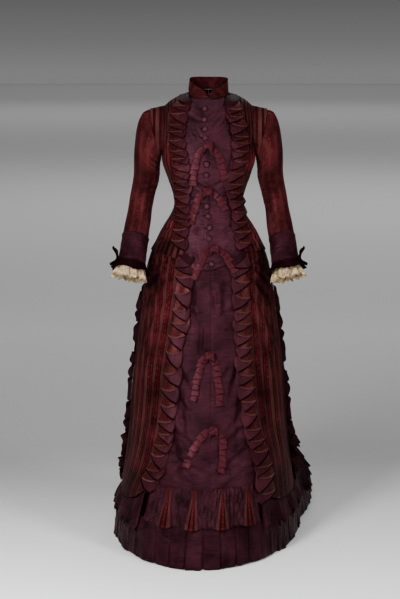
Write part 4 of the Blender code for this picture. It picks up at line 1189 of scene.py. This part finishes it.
def make_skirt_backs():
    levels = steps_down(150, FLOUNCE_LEVEL, SKIRT_TOP_LEVEL)
    for suffix, start, end in (("_right", SIDE_SEAM, math.pi), ("_left", math.pi, TURN - SIDE_SEAM)):
        angle = start + (end - start) * steps_across(116) + 0 * levels
        turn = np.abs(angle - math.pi)
        fine = 0.0030 * np.cos(29 * turn + 1.5 * np.sin(3 * turn)) * eased(levels, 0.98, 0.80)
        slow = 0.0022 * ripple(angle * 6, levels * 7, 8.4)
        points = surface(angle, levels, SKIRT_OUT + (fine + slow) * eased(turn, 1.57, 1.50))
        from_back = lengths_along(points, 1)
        if suffix == "_right":
            from_back = from_back[:, -1:] - from_back
        sew(f"skirt_back{suffix}_cloth", points, cloth_uv(from_back + 0.005, levels), ["striped_silk"],
            ["skirt_back" + suffix])


def length_angles(level, start, end, count):
    """Angles that part the form's ring into equal lengths between two angles."""
    fine = np.linspace(start, end, 800)
    reach = lengths_along(form_point(fine, level)[None], 1)[0]
    return np.interp(np.linspace(0, reach[-1], count), reach, fine), reach[-1]


def box_pleat(place):
    """Height of a box pleat over one repeat: a flat crown between two narrow deep folds."""
    part = np.remainder(place, 1.0)
    edge = np.minimum(part, 1 - part)
    return eased(edge, 0.012, 0.075) - 0.10 * eased(edge, 0.10, 0.5)


PLEAT_STEPS = 24


def make_hem_flounces():
    """The box-pleated flounce round the hem, in four lengths."""
    for number, side in enumerate(("front", "right", "back", "left")):
        start, end = FLOUNCE_CORNERS[number], FLOUNCE_CORNERS[number + 1]
        gap = seam_angle(0.0)
        _, length = length_angles(0.0, start, end, 2)
        pleats = round(length / FLOUNCE_PLEAT)
        count = PLEAT_STEPS * pleats + 1
        angles, _ = length_angles(0.0, start + gap, end - gap, count)
        place = steps_across(count, 0, pleats)
        index = np.floor(np.minimum(place, pleats - 0.001))
        rise = steps_down(16)
        below = 1 - rise
        level = rise * (FLOUNCE_LEVEL + 0.004)
        uneven = 0.12 * np.sin(index * 2.3 + number) * below
        tilt = 0.0048 * np.sin(index * 4.1 + 1.0) * (np.remainder(place, 1.0) - 0.5) * below
        deep = FLOUNCE_PLEAT_DEPTH * (2.05 - 1.35 * rise)
        crown = box_pleat(place + 0.03 * np.sin(index * 3.7) * below)
        hem_wave = 0.0018 * np.sin(index * 1.9 + number) * below ** 2
        dents = 0.0016 * ripple(place * 5, rise * 9, 1.1 + number) * (1 - 0.4 * rise)
        out = FLOUNCE_SEAT + deep * crown * (1 + uneven) + tilt + dents + hem_wave
        points = surface(angles[None, :], level, out)
        lift = np.abs(0.0050 * np.sin(index * 2.7 + number)) * below ** 3
        points[..., 2] += lift + 0.0006 * below ** 6
        name = "hem_flounce_" + side
        sew(name + "_cloth", points, cloth_uv(place * FLOUNCE_PLEAT, level), ["hem_plum_silk"],
            [name], FLOUNCE_CLOTH)


GODET_CENTRES = (-0.118, -0.044, 0.038, 0.112)
GODET_HALF_TOP = 0.0045
GODET_HALF_BOTTOM = 0.0195
SHIRR_COLUMNS = 680


def make_shirred_flounce():
    """The gathered flounce above the pleats, set with striped tapering gores."""
    angles, length = length_angles(0.170, -SHIRR_SPAN, SHIRR_SPAN, SHIRR_COLUMNS)
    angle = angles[None, :]
    rise = steps_down(20)
    middle_level = (FLOUNCE_LEVEL + FRONT_PANEL_LEVEL) / 2
    left, right = skirt_left_edge(middle_level), skirt_right_edge(middle_level)
    x = form_point(angle, middle_level)[..., 0]
    distances = [np.abs(x - centre) for centre in GODET_CENTRES]
    nearest = np.min(distances, axis=0)
    half = GODET_HALF_TOP + (GODET_HALF_BOTTOM - GODET_HALF_TOP) * (1 - rise)
    in_front = eased(angle, left - 0.06, left) * eased(-angle, -right - 0.06, -right)
    gore = eased(half - nearest, -0.0006, 0.0006) * in_front
    bottom = FLOUNCE_LEVEL - 0.010 * np.exp(-(nearest / 0.020) ** 2) * in_front
    level = bottom + (FRONT_PANEL_LEVEL + 0.001 - bottom) * rise
    pinch = 0.55 + 0.45 * np.abs(np.cos(math.pi * (rise - 0.5)))
    gathers = 0.0024 * np.cos(x * 800 + 2.2 * np.sin(x * 90) + 5 * rise * np.sin(x * 260))
    knots = 0.0044 * ripple(x * 300, rise * 12, 2.7)
    shirr = (gathers * pinch + knots) * (1 - gore)
    crown = 0.0036 * gore * (1 - (np.minimum(nearest / half, 1.0)) ** 2) * (0.4 + 0.6 * (1 - rise))
    hidden = eased(angle, right - TUCK_START, right - TUCK_END)
    hidden = hidden + eased(-angle, -left - TUCK_START, -left - TUCK_END)
    flare = 0.0085 * (1 - rise) ** 2 + 0.0022
    out = (flare + shirr + crown) * (1 - 0.7 * hidden) - SHIRR_TUCK * hidden
    points = surface(angle, level, out)
    stripe_u = STRIPE_REPEAT * (0.58 - 0.50 * nearest / np.maximum(half, 1e-4))
    uv = cloth_uv(np.where(gore > 0.5, stripe_u, steps_across(SHIRR_COLUMNS, 0, length) * 1.6), level)
    # The tucked-in ends at the sides are dark plum, painted shade
    slots = np.where(hidden[0, :-1] > 0.3, 2, (gore[:-1, :-1] > 0.5).astype(int))
    sew("shirred_flounce_cloth", points, uv, ["skirt_plum_silk", "striped_silk", "dark_plum_and_painted_shade_silk"],
        ["shirred_flounce"], FRILL_CLOTH, face_slots=slots)


# Cascades

FOLD_STEPS = 24
CASCADE_CLOTH = 0.0007
# The least and the most of what differs from fold to fold
FOLD_PITCH = (0.66, 1.34)
FOLD_SLANT = (0.02, 0.26)
INNER_REACH = (0.72, 1.20)
OUTER_REACH = (0.82, 1.16)
FOLD_CURL = (0.5, 1.2)
CASCADE_BASE = BODICE_OUT + TRIM_LIFT - 0.0010
CASCADES = (
    # part, side, top, bottom, folds, half width, how far out, level where it is tucked in, plain folds
    ("bodice", "left", 1.326, 0.893, 18, 0.0180, CASCADE_BASE, 1.345, 0),
    ("bodice", "right", 1.326, 0.893, 16, 0.0180, CASCADE_BASE, 1.345, 0),
    ("skirt", "left", 0.893, 0.195, 17, 0.0195, SKIRT_OUT, 0.893, 2),
    ("skirt", "right", 0.893, 0.160, 19, 0.0195, SKIRT_OUT, 0.893, 2),
)


def scattered(number, seed, low, high):
    """A number from low to high for each fold, uneven but the same each run."""
    return low + (high - low) * np.remainder(np.sin(number * 12.9898 + seed * 4.1) * 437.585, 1.0)


def make_cascade(part_name, side_name, top, bottom, folds, half_width, base, tucked, plain_folds):
    """A strip folded to and fro down its line, each fold over the one below. The figured side shows where
    the strip runs outwards, and the plum side where it slants back in."""
    column = 0 if side_name == "left" else 1
    side = -1 if side_name == "left" else 1
    line, rests_on = (bodice_frill_line, "bodice_front_") if part_name == "bodice" else (
        skirt_edge, "skirt_side_")
    seed = side + 10 * top
    strip = steps_down(folds * FOLD_STEPS + 1, 0, folds)
    hang = steps_across(14)
    number = np.floor(np.minimum(strip, folds - 0.001))
    part = strip - number
    pitches = scattered(np.arange(folds), seed, *FOLD_PITCH)
    pitches = pitches / pitches.sum() * (top - bottom)
    starts = np.concatenate([[0.0], np.cumsum(pitches)])
    drop = pitches[number.astype(int)]
    outwards = np.minimum(part, 0.5) * 2
    inwards = np.maximum(part - 0.5, 0.0) * 2
    slant = scattered(number, seed + 3, *FOLD_SLANT)
    descent = starts[number.astype(int)] + drop * (slant * outwards + (1 - slant) * inwards)
    sag = (0.16 * np.sin(math.pi * outwards) + 0.12 * np.sin(math.pi * inwards)) * hang
    cover = 1.25 * drop * (1 - hang) * eased(strip, 0.0, 0.9)
    level = top - descent - drop * sag + cover - 0.10 * drop
    swing = outwards - inwards
    swing = 0.5 - 0.5 * np.cos(math.pi * swing) * (0.72 + 0.28 * np.abs(np.cos(math.pi * swing)))
    later = scattered(number + 1, seed + 5, *INNER_REACH)
    inner = scattered(number, seed + 5, *INNER_REACH) * (1 - part) + later * part
    outer = scattered(number, seed + 7, *OUTER_REACH)
    middle = line(np.clip(level, bottom, top))[..., column]
    curl = 0.50 * np.sin(math.pi * hang) ** 0.8 * (1 - swing) + 0.30 * (hang - 0.55) * swing
    curl = curl * (1 - 1.6 * swing) * scattered(number, seed + 9, *FOLD_CURL)
    x = middle + side * (swing * outer - (1 - swing) * inner - curl) * half_width
    first = eased(strip, 0.0, 1.2)
    height = 0.0016 + (0.0012 + 0.0070 * first) * hang ** 1.5
    height = height + (0.0016 * np.sin(math.pi * outwards) + 0.0034 * np.sin(math.pi * inwards)) * hang
    height = height + 0.0014 * ripple(x * 110, level * 80, side)
    height = 0.0004 + height * (0.15 + 0.85 * eased(level, tucked, tucked - 0.035))
    shoulder = SHOULDER_LIFT * eased(level, 1.25, YOKE_LEVEL)
    points = surface(angle_at(x, level), np.minimum(level, NECK_LEVEL), base + shoulder + height)
    strip_length = strip * 2 * math.hypot(2 * half_width, (top - bottom) / folds / 2)
    uv = cloth_uv(hang * drop, strip_length)
    figured = np.repeat(part[:-1] + 0.5 / FOLD_STEPS < 0.5, hang.shape[1] - 1, axis=1)
    edge = np.arange(hang.shape[1] - 1)[None, :] >= hang.shape[1] - 2
    figured = figured & (number[:-1] >= plain_folds)
    # Edge faces: a lighter line on the figured folds is a painted highlight, a dark plum line on the plum
    # folds a painted shadow
    slots = np.where(figured, np.where(edge, 2, 1), np.where(edge, 3, 0))
    slots = np.where(number[:-1] < 1, 4, slots)
    piece = sew(f"{part_name}_cascade_{side_name}", points[:, ::-1], uv[:, ::-1],
                ["cascade_silk", "figured_silk", "painted_edge_highlight_silk", "dark_plum_and_painted_shade_silk", "ruffle_plum_silk"],
                [f"{part_name}_frill_{side_name}"], CASCADE_CLOTH, 0.0, slots[:, ::-1])


# Ruffles and frills


def make_side_ruffles():
    """The scalloped plum ruffle that stands out along each side seam."""
    low, high = SIDE_RUFFLE_LEVELS
    for side, suffix in ((-1, "_left"), (1, "_right")):
        place = steps_down(26 * SIDE_RUFFLE_WAVES + 1, 0, SIDE_RUFFLE_WAVES)
        share = steps_across(10)
        level = low + (high - low) * place / SIDE_RUFFLE_WAVES
        ends = eased(place, 0, 0.8) * eased(SIDE_RUFFLE_WAVES - place, 0, 0.8)
        phase = place + 0.25 * np.sin(place * 2.1 + side) + 0.12 * np.sin(place * 5.3)
        scallop = 0.62 + 0.26 * np.sin(TURN * phase) + 0.12 * np.sin(TURN * 2.3 * phase + side)
        grow = 1.0 + 0.7 * eased(level, 0.45, 0.20)
        wave = np.sin(TURN * phase + 0.9 * share) + 0.4 * np.sin(TURN * 1.9 * phase)
        angle = side * (SIDE_SEAM + 0.034 * wave * share * (0.3 + 0.7 * ends))
        reach = 0.0016 + RUFFLE_REACH * share * scallop * grow * (0.35 + 0.65 * ends)
        droop = -0.010 * share * share * np.cos(TURN * phase)
        points = surface(angle, level + droop, reach)
        uv = cloth_uv(share * RUFFLE_REACH, place * 0.09)
        if side < 0:
            points, uv = points[:, ::-1], uv[:, ::-1]
        sew(f"side_ruffle{suffix}_cloth", points, uv, ["ruffle_plum_silk"],
            ["side_ruffle" + suffix], RUFFLE_CLOTH, 0.0)


TRAIN_FRILLS = (
    # height of its heading, how far it falls, where it starts and ends round the side, waves
    (0.320, 0.070, 93, 112, 4),
    (0.245, 0.075, 92, 122, 6),
    (0.165, 0.085, 93, 150, 11),
)


def sew_frill(name, side, points, uv, cloth):
    """A gathered frill with no solid of its own."""
    if side > 0:
        points, uv = points[::-1], uv[::-1]
    piece = sew(name, points, uv, [cloth], [], FRILL_CLOTH, 0.0)


def make_train_frills():
    """Short gathered frills in tiers beside the train, their edges pinked and uneven."""
    for side, suffix in SIDES:
        for tier, (top, fall, start, end, waves) in enumerate(TRAIN_FRILLS):
            share = steps_across(28 * waves)
            drop = steps_down(12)
            angle = side * np.radians(start + (end - start) * share)
            phase = waves * share + 0.3 * np.sin(waves * share * 1.9 + tier)
            wave = np.cos(TURN * phase) + 0.35 * np.cos(TURN * 2.7 * phase + tier)
            pinked = 0.10 * np.abs(np.sin(TURN * phase * 4.5)) + 0.16 * np.sin(TURN * phase * 0.7)
            ends = eased(share, 0.0, 0.05) * eased(share, 1.0, 0.95)
            level = top - fall * drop * (1 + pinked * drop)
            out = 0.0030 + (0.010 + 0.0085 * wave) * drop ** 1.2 * (0.3 + 0.7 * ends)
            sew_frill(f"train_frill_{tier + 1}{suffix}_cloth", side, surface(angle, level, out),
                      cloth_uv(share * waves * 0.05, level), "ruffle_plum_silk")


CORNER_FRILL_END = math.radians(94)
CORNER_FRILL_LEVEL = 0.090
CORNER_FRILL_LAP = 0.10
CORNER_FRILL_WAVES = 13


def make_corner_frills():
    """Gathered frills that come out below the side panels and over the head of the hem flounce."""
    for (side, suffix), edge in zip(SIDES, (skirt_right_edge, skirt_left_edge)):
        share = steps_across(30 * CORNER_FRILL_WAVES)
        drop = steps_down(13)
        front = edge(np.full_like(share, 0.150)) - side * CORNER_FRILL_LAP
        angle = front + (side * CORNER_FRILL_END - front) * share
        heading = SIDE_PANEL_LEVEL + SIDE_CORNER_RISE * (1 - share) ** 5 + 0.003
        along = CORNER_FRILL_WAVES * share
        phase = along + 0.3 * np.sin(along * 1.7 + side)
        wave = np.cos(TURN * phase) + 0.40 * np.cos(TURN * 2.3 * phase + side)
        pinked = 0.006 * np.abs(np.sin(TURN * phase * 3.5)) + 0.010 * np.sin(TURN * phase * 0.7)
        level = heading + (CORNER_FRILL_LEVEL - pinked - heading) * drop
        out = 0.0016 + 0.0036 * eased(share, 0.16, 0.02) + (0.0118 + 0.0042 * wave) * drop ** 0.6
        out = out + 0.0008 * ripple(share * 60, drop * 4, 2.0 + side)
        sew_frill(f"corner_frill{suffix}_cloth", side, surface(angle + 0.0 * drop, level, out),
                  cloth_uv(along * 0.03, level), "hem_plum_silk")


# Buttons and bows


def tangent_axes(angle, level):
    """Across, up and outward directions at one place on the form."""
    normal = form_normal(np.asarray(angle), np.asarray(level))
    across = unit(np.cross(np.array([0.0, 0.0, 1.0]), normal))
    return across, np.cross(normal, across), normal


# How far from its middle and how high each ring of a button lies, as shares of its radius and height
BUTTON_OUTLINE = ((0.02, 1.0), (0.25, 0.98), (0.50, 0.90), (0.70, 0.74), (0.78, 0.64), (0.84, 0.70),
                  (0.93, 0.60), (0.97, 0.30), (1.14, 0.20), (1.20, 0.02), (0.92, 0.0))


def make_buttons():
    """Domed silk-covered buttons with a rolled edge; their sides and a flat ring round the foot are dark
    plum, a painted shadow on the vest.
    """
    turn = steps_across(33, 0, TURN)
    reach, rise = np.array(BUTTON_OUTLINE).T[:, :, None]
    # The sides and the flat ring round the foot are dark plum, a painted shadow on the vest
    shadow_ring = np.repeat((reach[:-1] > 0.92) & (reach[1:] > 0.90), turn.shape[1] - 1, axis=1)
    for number, (level, x) in enumerate(BUTTONS, start=1):
        angle = angle_at(x, level)
        across, up, normal = tangent_axes(angle, level)
        seat = surface(angle, level, BODICE_OUT + BUTTON_SEAT)
        pucker = 1 + 0.03 * np.cos(turn * 9 + number) * reach
        flat = across * (np.cos(turn) * reach * pucker)[..., None]
        flat = flat + up * (np.sin(turn) * reach * pucker)[..., None]
        points = seat + flat * BUTTON_RADIUS * 0.97 + normal * (rise * BUTTON_HEIGHT)[..., None]
        uv = cloth_uv(np.cos(turn) * reach * BUTTON_RADIUS, np.sin(turn) * reach * BUTTON_RADIUS)
        name = f"button_{number:02d}"
        sew(name + "_covered", points, uv, ["button_silk", "dark_plum_and_painted_shade_silk"], [name],
            face_slots=shadow_ring.astype(int))


PATH_STEPS = 160
RIBBON_PLEAT = 0.0165
PLEAT_LAP = 0.20
PLEAT_ROWS = 9
TURN_ROWS = 3
RIBBON_CLOTH = 0.0006
BOW_LIFT = 0.0012
LOOP_SIZE = 0.014
LOOP_DROP = 0.003
LOOP_LIFT = 0.0065
LOOP_DEPTH = 0.0046
KNOT_LIFT = 0.0125
KNOT_HALF_WIDTH = 0.0145
KNOT_HALF_HEIGHT = 0.0104
KNOT_HALF_DEPTH = 0.0070


def ribbon_path(knot, tail):
    """Evenly spaced (level, x) places along a soft curve from the knot down one tail, and its length."""
    table = [(number, *point) for number, point in enumerate((knot, *tail))]
    fine = profile(table)(np.linspace(0, len(table) - 1, 200))
    reach = np.concatenate([[0], np.cumsum(np.hypot(*np.diff(fine, axis=0).T))])
    even = np.linspace(0, reach[-1], PATH_STEPS)
    return np.interp(even, reach, fine[:, 0]), np.interp(even, reach, fine[:, 1]), even


def make_tail(name, knot, tail, base, side):
    """One bow tail, a ribbon laid in small knife pleats whose lower edges stand away and show as steps."""
    path_level, path_x, path = ribbon_path(knot, tail)
    length = path[-1]
    pleats = max(round(length / RIBBON_PLEAT), 3)
    face = np.arange(PLEAT_ROWS) / (PLEAT_ROWS - 1)
    under = np.arange(1, TURN_ROWS + 1) / (TURN_ROWS + 1)
    number = np.repeat(np.arange(pleats), PLEAT_ROWS + TURN_ROWS)
    place = np.tile(np.concatenate([(1 + PLEAT_LAP) * face - PLEAT_LAP, 1 - PLEAT_LAP * under]), pleats)
    along = np.clip(length / pleats * (number + place), 0.0, length)
    rise = np.tile(np.concatenate([face, (1 - under) * 0.8]), pleats)[:, None]
    number = number[:, None]
    share = steps_across(13, -1, 1)
    line = surface(angle_at(path_x, path_level), path_level, base)
    pick = np.clip((along / length * (PATH_STEPS - 1)).round().astype(int), 0, PATH_STEPS - 1)
    tangents = unit(np.gradient(line, axis=0))[pick]
    level = np.interp(along, path, path_level)
    angle = angle_at(np.interp(along, path, path_x), level)
    spots = surface(angle, level, base)
    normals = form_normal(angle, level)
    across = unit(np.cross(tangents, normals))
    start = eased(along, 0.0, 0.020)[:, None]
    width = RIBBON_HALF_WIDTH * (0.45 + 0.60 * start) * (1 + 0.08 * np.sin(number * 2.1 + side))
    outer = np.clip(share * -side, 0, 1)
    width = width * (1 + 0.22 * outer * rise ** 2)
    height = 0.0014 + 0.0056 * rise ** 1.3 * (0.5 + 0.5 * start) - 0.0016 * share ** 2 * (1 - rise * 0.6)
    height = height + 0.0030 * np.exp(-(along[:, None] / 0.014) ** 2)
    skew = 0.0026 * share * np.sin(number * 2.3 + side) * rise
    shift = 0.0014 * np.sin(number * 1.7 + side)
    points = spots[:, None] + across[:, None] * (width * share + shift)[..., None]
    points = points + normals[:, None] * height[..., None] + tangents[:, None] * skew[..., None]
    reach = np.concatenate([[0], np.cumsum(np.abs(np.diff(along)))])[:, None]
    uv = cloth_uv(RIBBON_HALF_WIDTH * share, reach)
    # The turned-under rows of each pleat are dark plum, painted shade between the pleats
    turned = np.array(([0] * PLEAT_ROWS + [1] * TURN_ROWS) * pleats)[:-1, None]
    slots = turned + np.zeros((1, share.shape[1] - 1), int)
    piece = grid_object(name, points[:, ::-1], uv[:, ::-1], ["ribbon_silk", "dark_plum_and_painted_shade_silk"], slots)
    return piece, points


def make_loop(name, level, x, base, side):
    """One loop of a bow, a flattened tube that stands out beside the knot."""
    angle = angle_at(x, level)
    across, up, normal = tangent_axes(angle, level)
    seat = surface(angle, level, base + LOOP_LIFT)
    turn = steps_down(41, 0, TURN)
    share = steps_across(13, -1, 1)
    part = (1 - np.cos(turn)) / 2
    reach = LOOP_SIZE * part
    thick = LOOP_DEPTH * np.sin(turn) * (0.4 + 0.6 * part)
    wide = RIBBON_HALF_WIDTH * (0.45 + 0.60 * part)
    points = seat + across * side * (reach + 0 * share)[..., None]
    points = points + up * (wide * share - 0.75 * reach)[..., None]
    points = points + normal * (thick + 0.0012 * np.cos(5 * share + turn) * part)[..., None]
    uv = cloth_uv(wide * share, turn * LOOP_SIZE / 3 + 0 * share)
    return grid_object(name, points, uv, ["ribbon_silk", "dark_plum_and_painted_shade_silk"]), points


def make_knot(name, level, x, base):
    """The knot: a small pinched pillow with folds running across it."""
    angle = angle_at(x, level)
    across, up, normal = tangent_axes(angle, level)
    centre = surface(angle, level, base + KNOT_LIFT)
    turn = steps_across(41, 0, TURN)
    share = steps_down(21, -1, 1)
    fat = np.sqrt(np.maximum(1 - share ** 4, 0.0)) * (1 + 0.14 * np.cos(turn * 6 + 3 * share))
    tall = KNOT_HALF_HEIGHT * fat * np.cos(turn) * (1 + 0.35 * share ** 2) - 0.003 * share ** 2
    points = centre + across * (share * KNOT_HALF_WIDTH + 0 * turn)[..., None] + up * tall[..., None]
    points = points + normal * (KNOT_HALF_DEPTH * fat * np.sin(turn))[..., None]
    return grid_object(name, points, cloth_uv(share * 0.01, turn * 0.007), ["ribbon_silk"])


def make_bows():
    for name, level, x, left, right in BOWS:
        on_bodice = level > VEST_POINT_LEVEL
        base = (BODICE_OUT if on_bodice else 0.0) + BOW_LIFT
        made = []
        for label, side, tail in (("a", -1, left), ("b", 1, right)):
            made.append(make_tail(name + label, (level, x), tail, base, side))
        for label, side in (("c", -1), ("d", 1)):
            made.append(make_loop(name + label, level - LOOP_DROP, x, base, side))
        piece = joined(f"bow_{name}_cloth", [part for part, _ in made])
        thicken(piece, RIBBON_CLOTH, 0.0)
        place_piece(piece, [f"bow_{name}_ribbon"])
        centre = make_knot(f"bow_{name}_centre", level, x, base)
        place_piece(centre, [f"bow_{name}_knot"])


# Stage

CAMERA_PLACE = (-0.025, -4.8, 0.070)
CAMERA_DOWN = math.radians(7.87)
CAMERA_LENS = 98.4
CAMERA_SENSOR = 36.0
CAMERA_REACH = 900.0
FLOOR_REACH = 300.0
FLOOR_FAR_EDGE = 215.0
FLOOR_FADE = 60.0
# Greys of the floor by distance; the dark dip about 1.1 m behind the dress is painted shade
FLOOR_GREYS_AND_SHADE = ((0.0, 0.88), (0.024, 0.84), (0.052, 0.38), (0.10, 0.76), (0.20, 0.82), (0.5, 0.90))
STUDIO_GREYS = ((0.0, 0.215), (0.019, 0.165), (0.045, 0.118), (0.12, 0.10), (1.0, 0.15))
LIGHTS = (
    # name, place, target, size, power
    ("key", (2.7, -2.8, 2.2), (0.0, 0.1, -0.5), 0.9, 135),
    ("fill", (-2.4, -3.4, 0.9), (0.0, 0.0, -0.4), 1.4, 14),
    ("top", (0.2, 0.6, 3.2), (0.0, 0.2, -1.0), 2.4, 45),
    ("front_floor", (-0.9, -1.9, 0.2), (-0.6, -0.7, -1.33), 0.5, 95),
    ("floor_behind", (2.0, 12.0, 9.0), (1.5, 12.0, -1.3), 8.0, 520),
    ("far_floor", (0.0, 50.0, 22.0), (0.0, 50.0, -1.3), 36.0, 1900),
    ("horizon", (0.0, 170.0, 60.0), (0.0, 170.0, -1.3), 100.0, 7200),
    ("far_middle", (0.0, 98.0, 34.0), (0.0, 98.0, -1.3), 50.0, 1250),
    ("low", (1.6, -2.6, -0.7), (0.1, 0.0, -1.0), 0.7, 24),
)


def make_floor():
    mesh = bpy.data.meshes.new("floor")
    reach, far = FLOOR_REACH, FLOOR_FAR_EDGE
    corners = [(-reach, -reach, 0), (reach, -reach, 0), (reach, far, 0), (-reach, far, 0)]
    mesh.from_pydata(corners, [], [(0, 1, 2, 3)])
    floor = bpy.data.objects.new("floor", mesh)
    floor.location = (0, 0, -NECK_HEIGHT)
    bpy.context.scene.collection.objects.link(floor)
    tree, shader = new_material("floor", 0.80, 0.1, WHITE)
    split = node(tree, "SeparateXYZ", {0: node(tree, "TexCoord", {}, "Object")}, "Y")
    away = math_node(tree, "MULTIPLY_ADD", split, 1 / FLOOR_FADE, 2 / FLOOR_FADE)
    # The floor's greys, with painted shade in a band behind the dress
    feed(tree, ramp(tree, away, FLOOR_GREYS_AND_SHADE), shader.inputs["Base Color"])
    mesh.materials.append(materials["floor"])


def add_light(name, place, target, size, power):
    light = bpy.data.lights.new(name, "AREA")
    light.shape = "SQUARE"
    light.size = size
    light.energy = power
    made = bpy.data.objects.new(name, light)
    made.location = place
    bpy.context.scene.collection.objects.link(made)
    made.rotation_mode = "QUATERNION"
    made.rotation_quaternion = (Vector(target) - Vector(place)).to_track_quat("-Z", "Y")


def make_world():
    """A grey studio round the scene, a little lighter overhead."""
    world = bpy.data.worlds.new("studio")
    bpy.context.scene.world = world
    world.use_nodes = True
    tree = world.node_tree
    split = node(tree, "SeparateXYZ", {0: node(tree, "TexCoord", {}, "Generated")}, "Z")
    feed(tree, ramp(tree, split, STUDIO_GREYS), tree.nodes["Background"].inputs["Color"])


def make_camera():
    camera = bpy.data.cameras.new("camera")
    camera.lens = CAMERA_LENS
    camera.sensor_width = CAMERA_SENSOR
    camera.clip_end = CAMERA_REACH
    made = bpy.data.objects.new("camera", camera)
    made.location = CAMERA_PLACE
    made.rotation_euler = (math.pi / 2 - CAMERA_DOWN, 0.0, 0.0)
    bpy.context.scene.collection.objects.link(made)
    bpy.context.scene.camera = made


def main():
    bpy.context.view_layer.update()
    make_materials()
    make_vest()
    make_bodice_fronts()
    make_bodice_backs()
    make_collar()
    make_sleeves()
    make_cuffs()
    make_skirt_front()
    make_skirt_sides()
    make_skirt_backs()
    make_hem_flounces()
    make_shirred_flounce()
    for row in CASCADES:
        make_cascade(*row)
    make_side_ruffles()
    make_train_frills()
    make_corner_frills()
    make_buttons()
    make_bows()
    make_floor()
    make_world()
    for row in LIGHTS:
        add_light(*row)
    make_camera()


main()
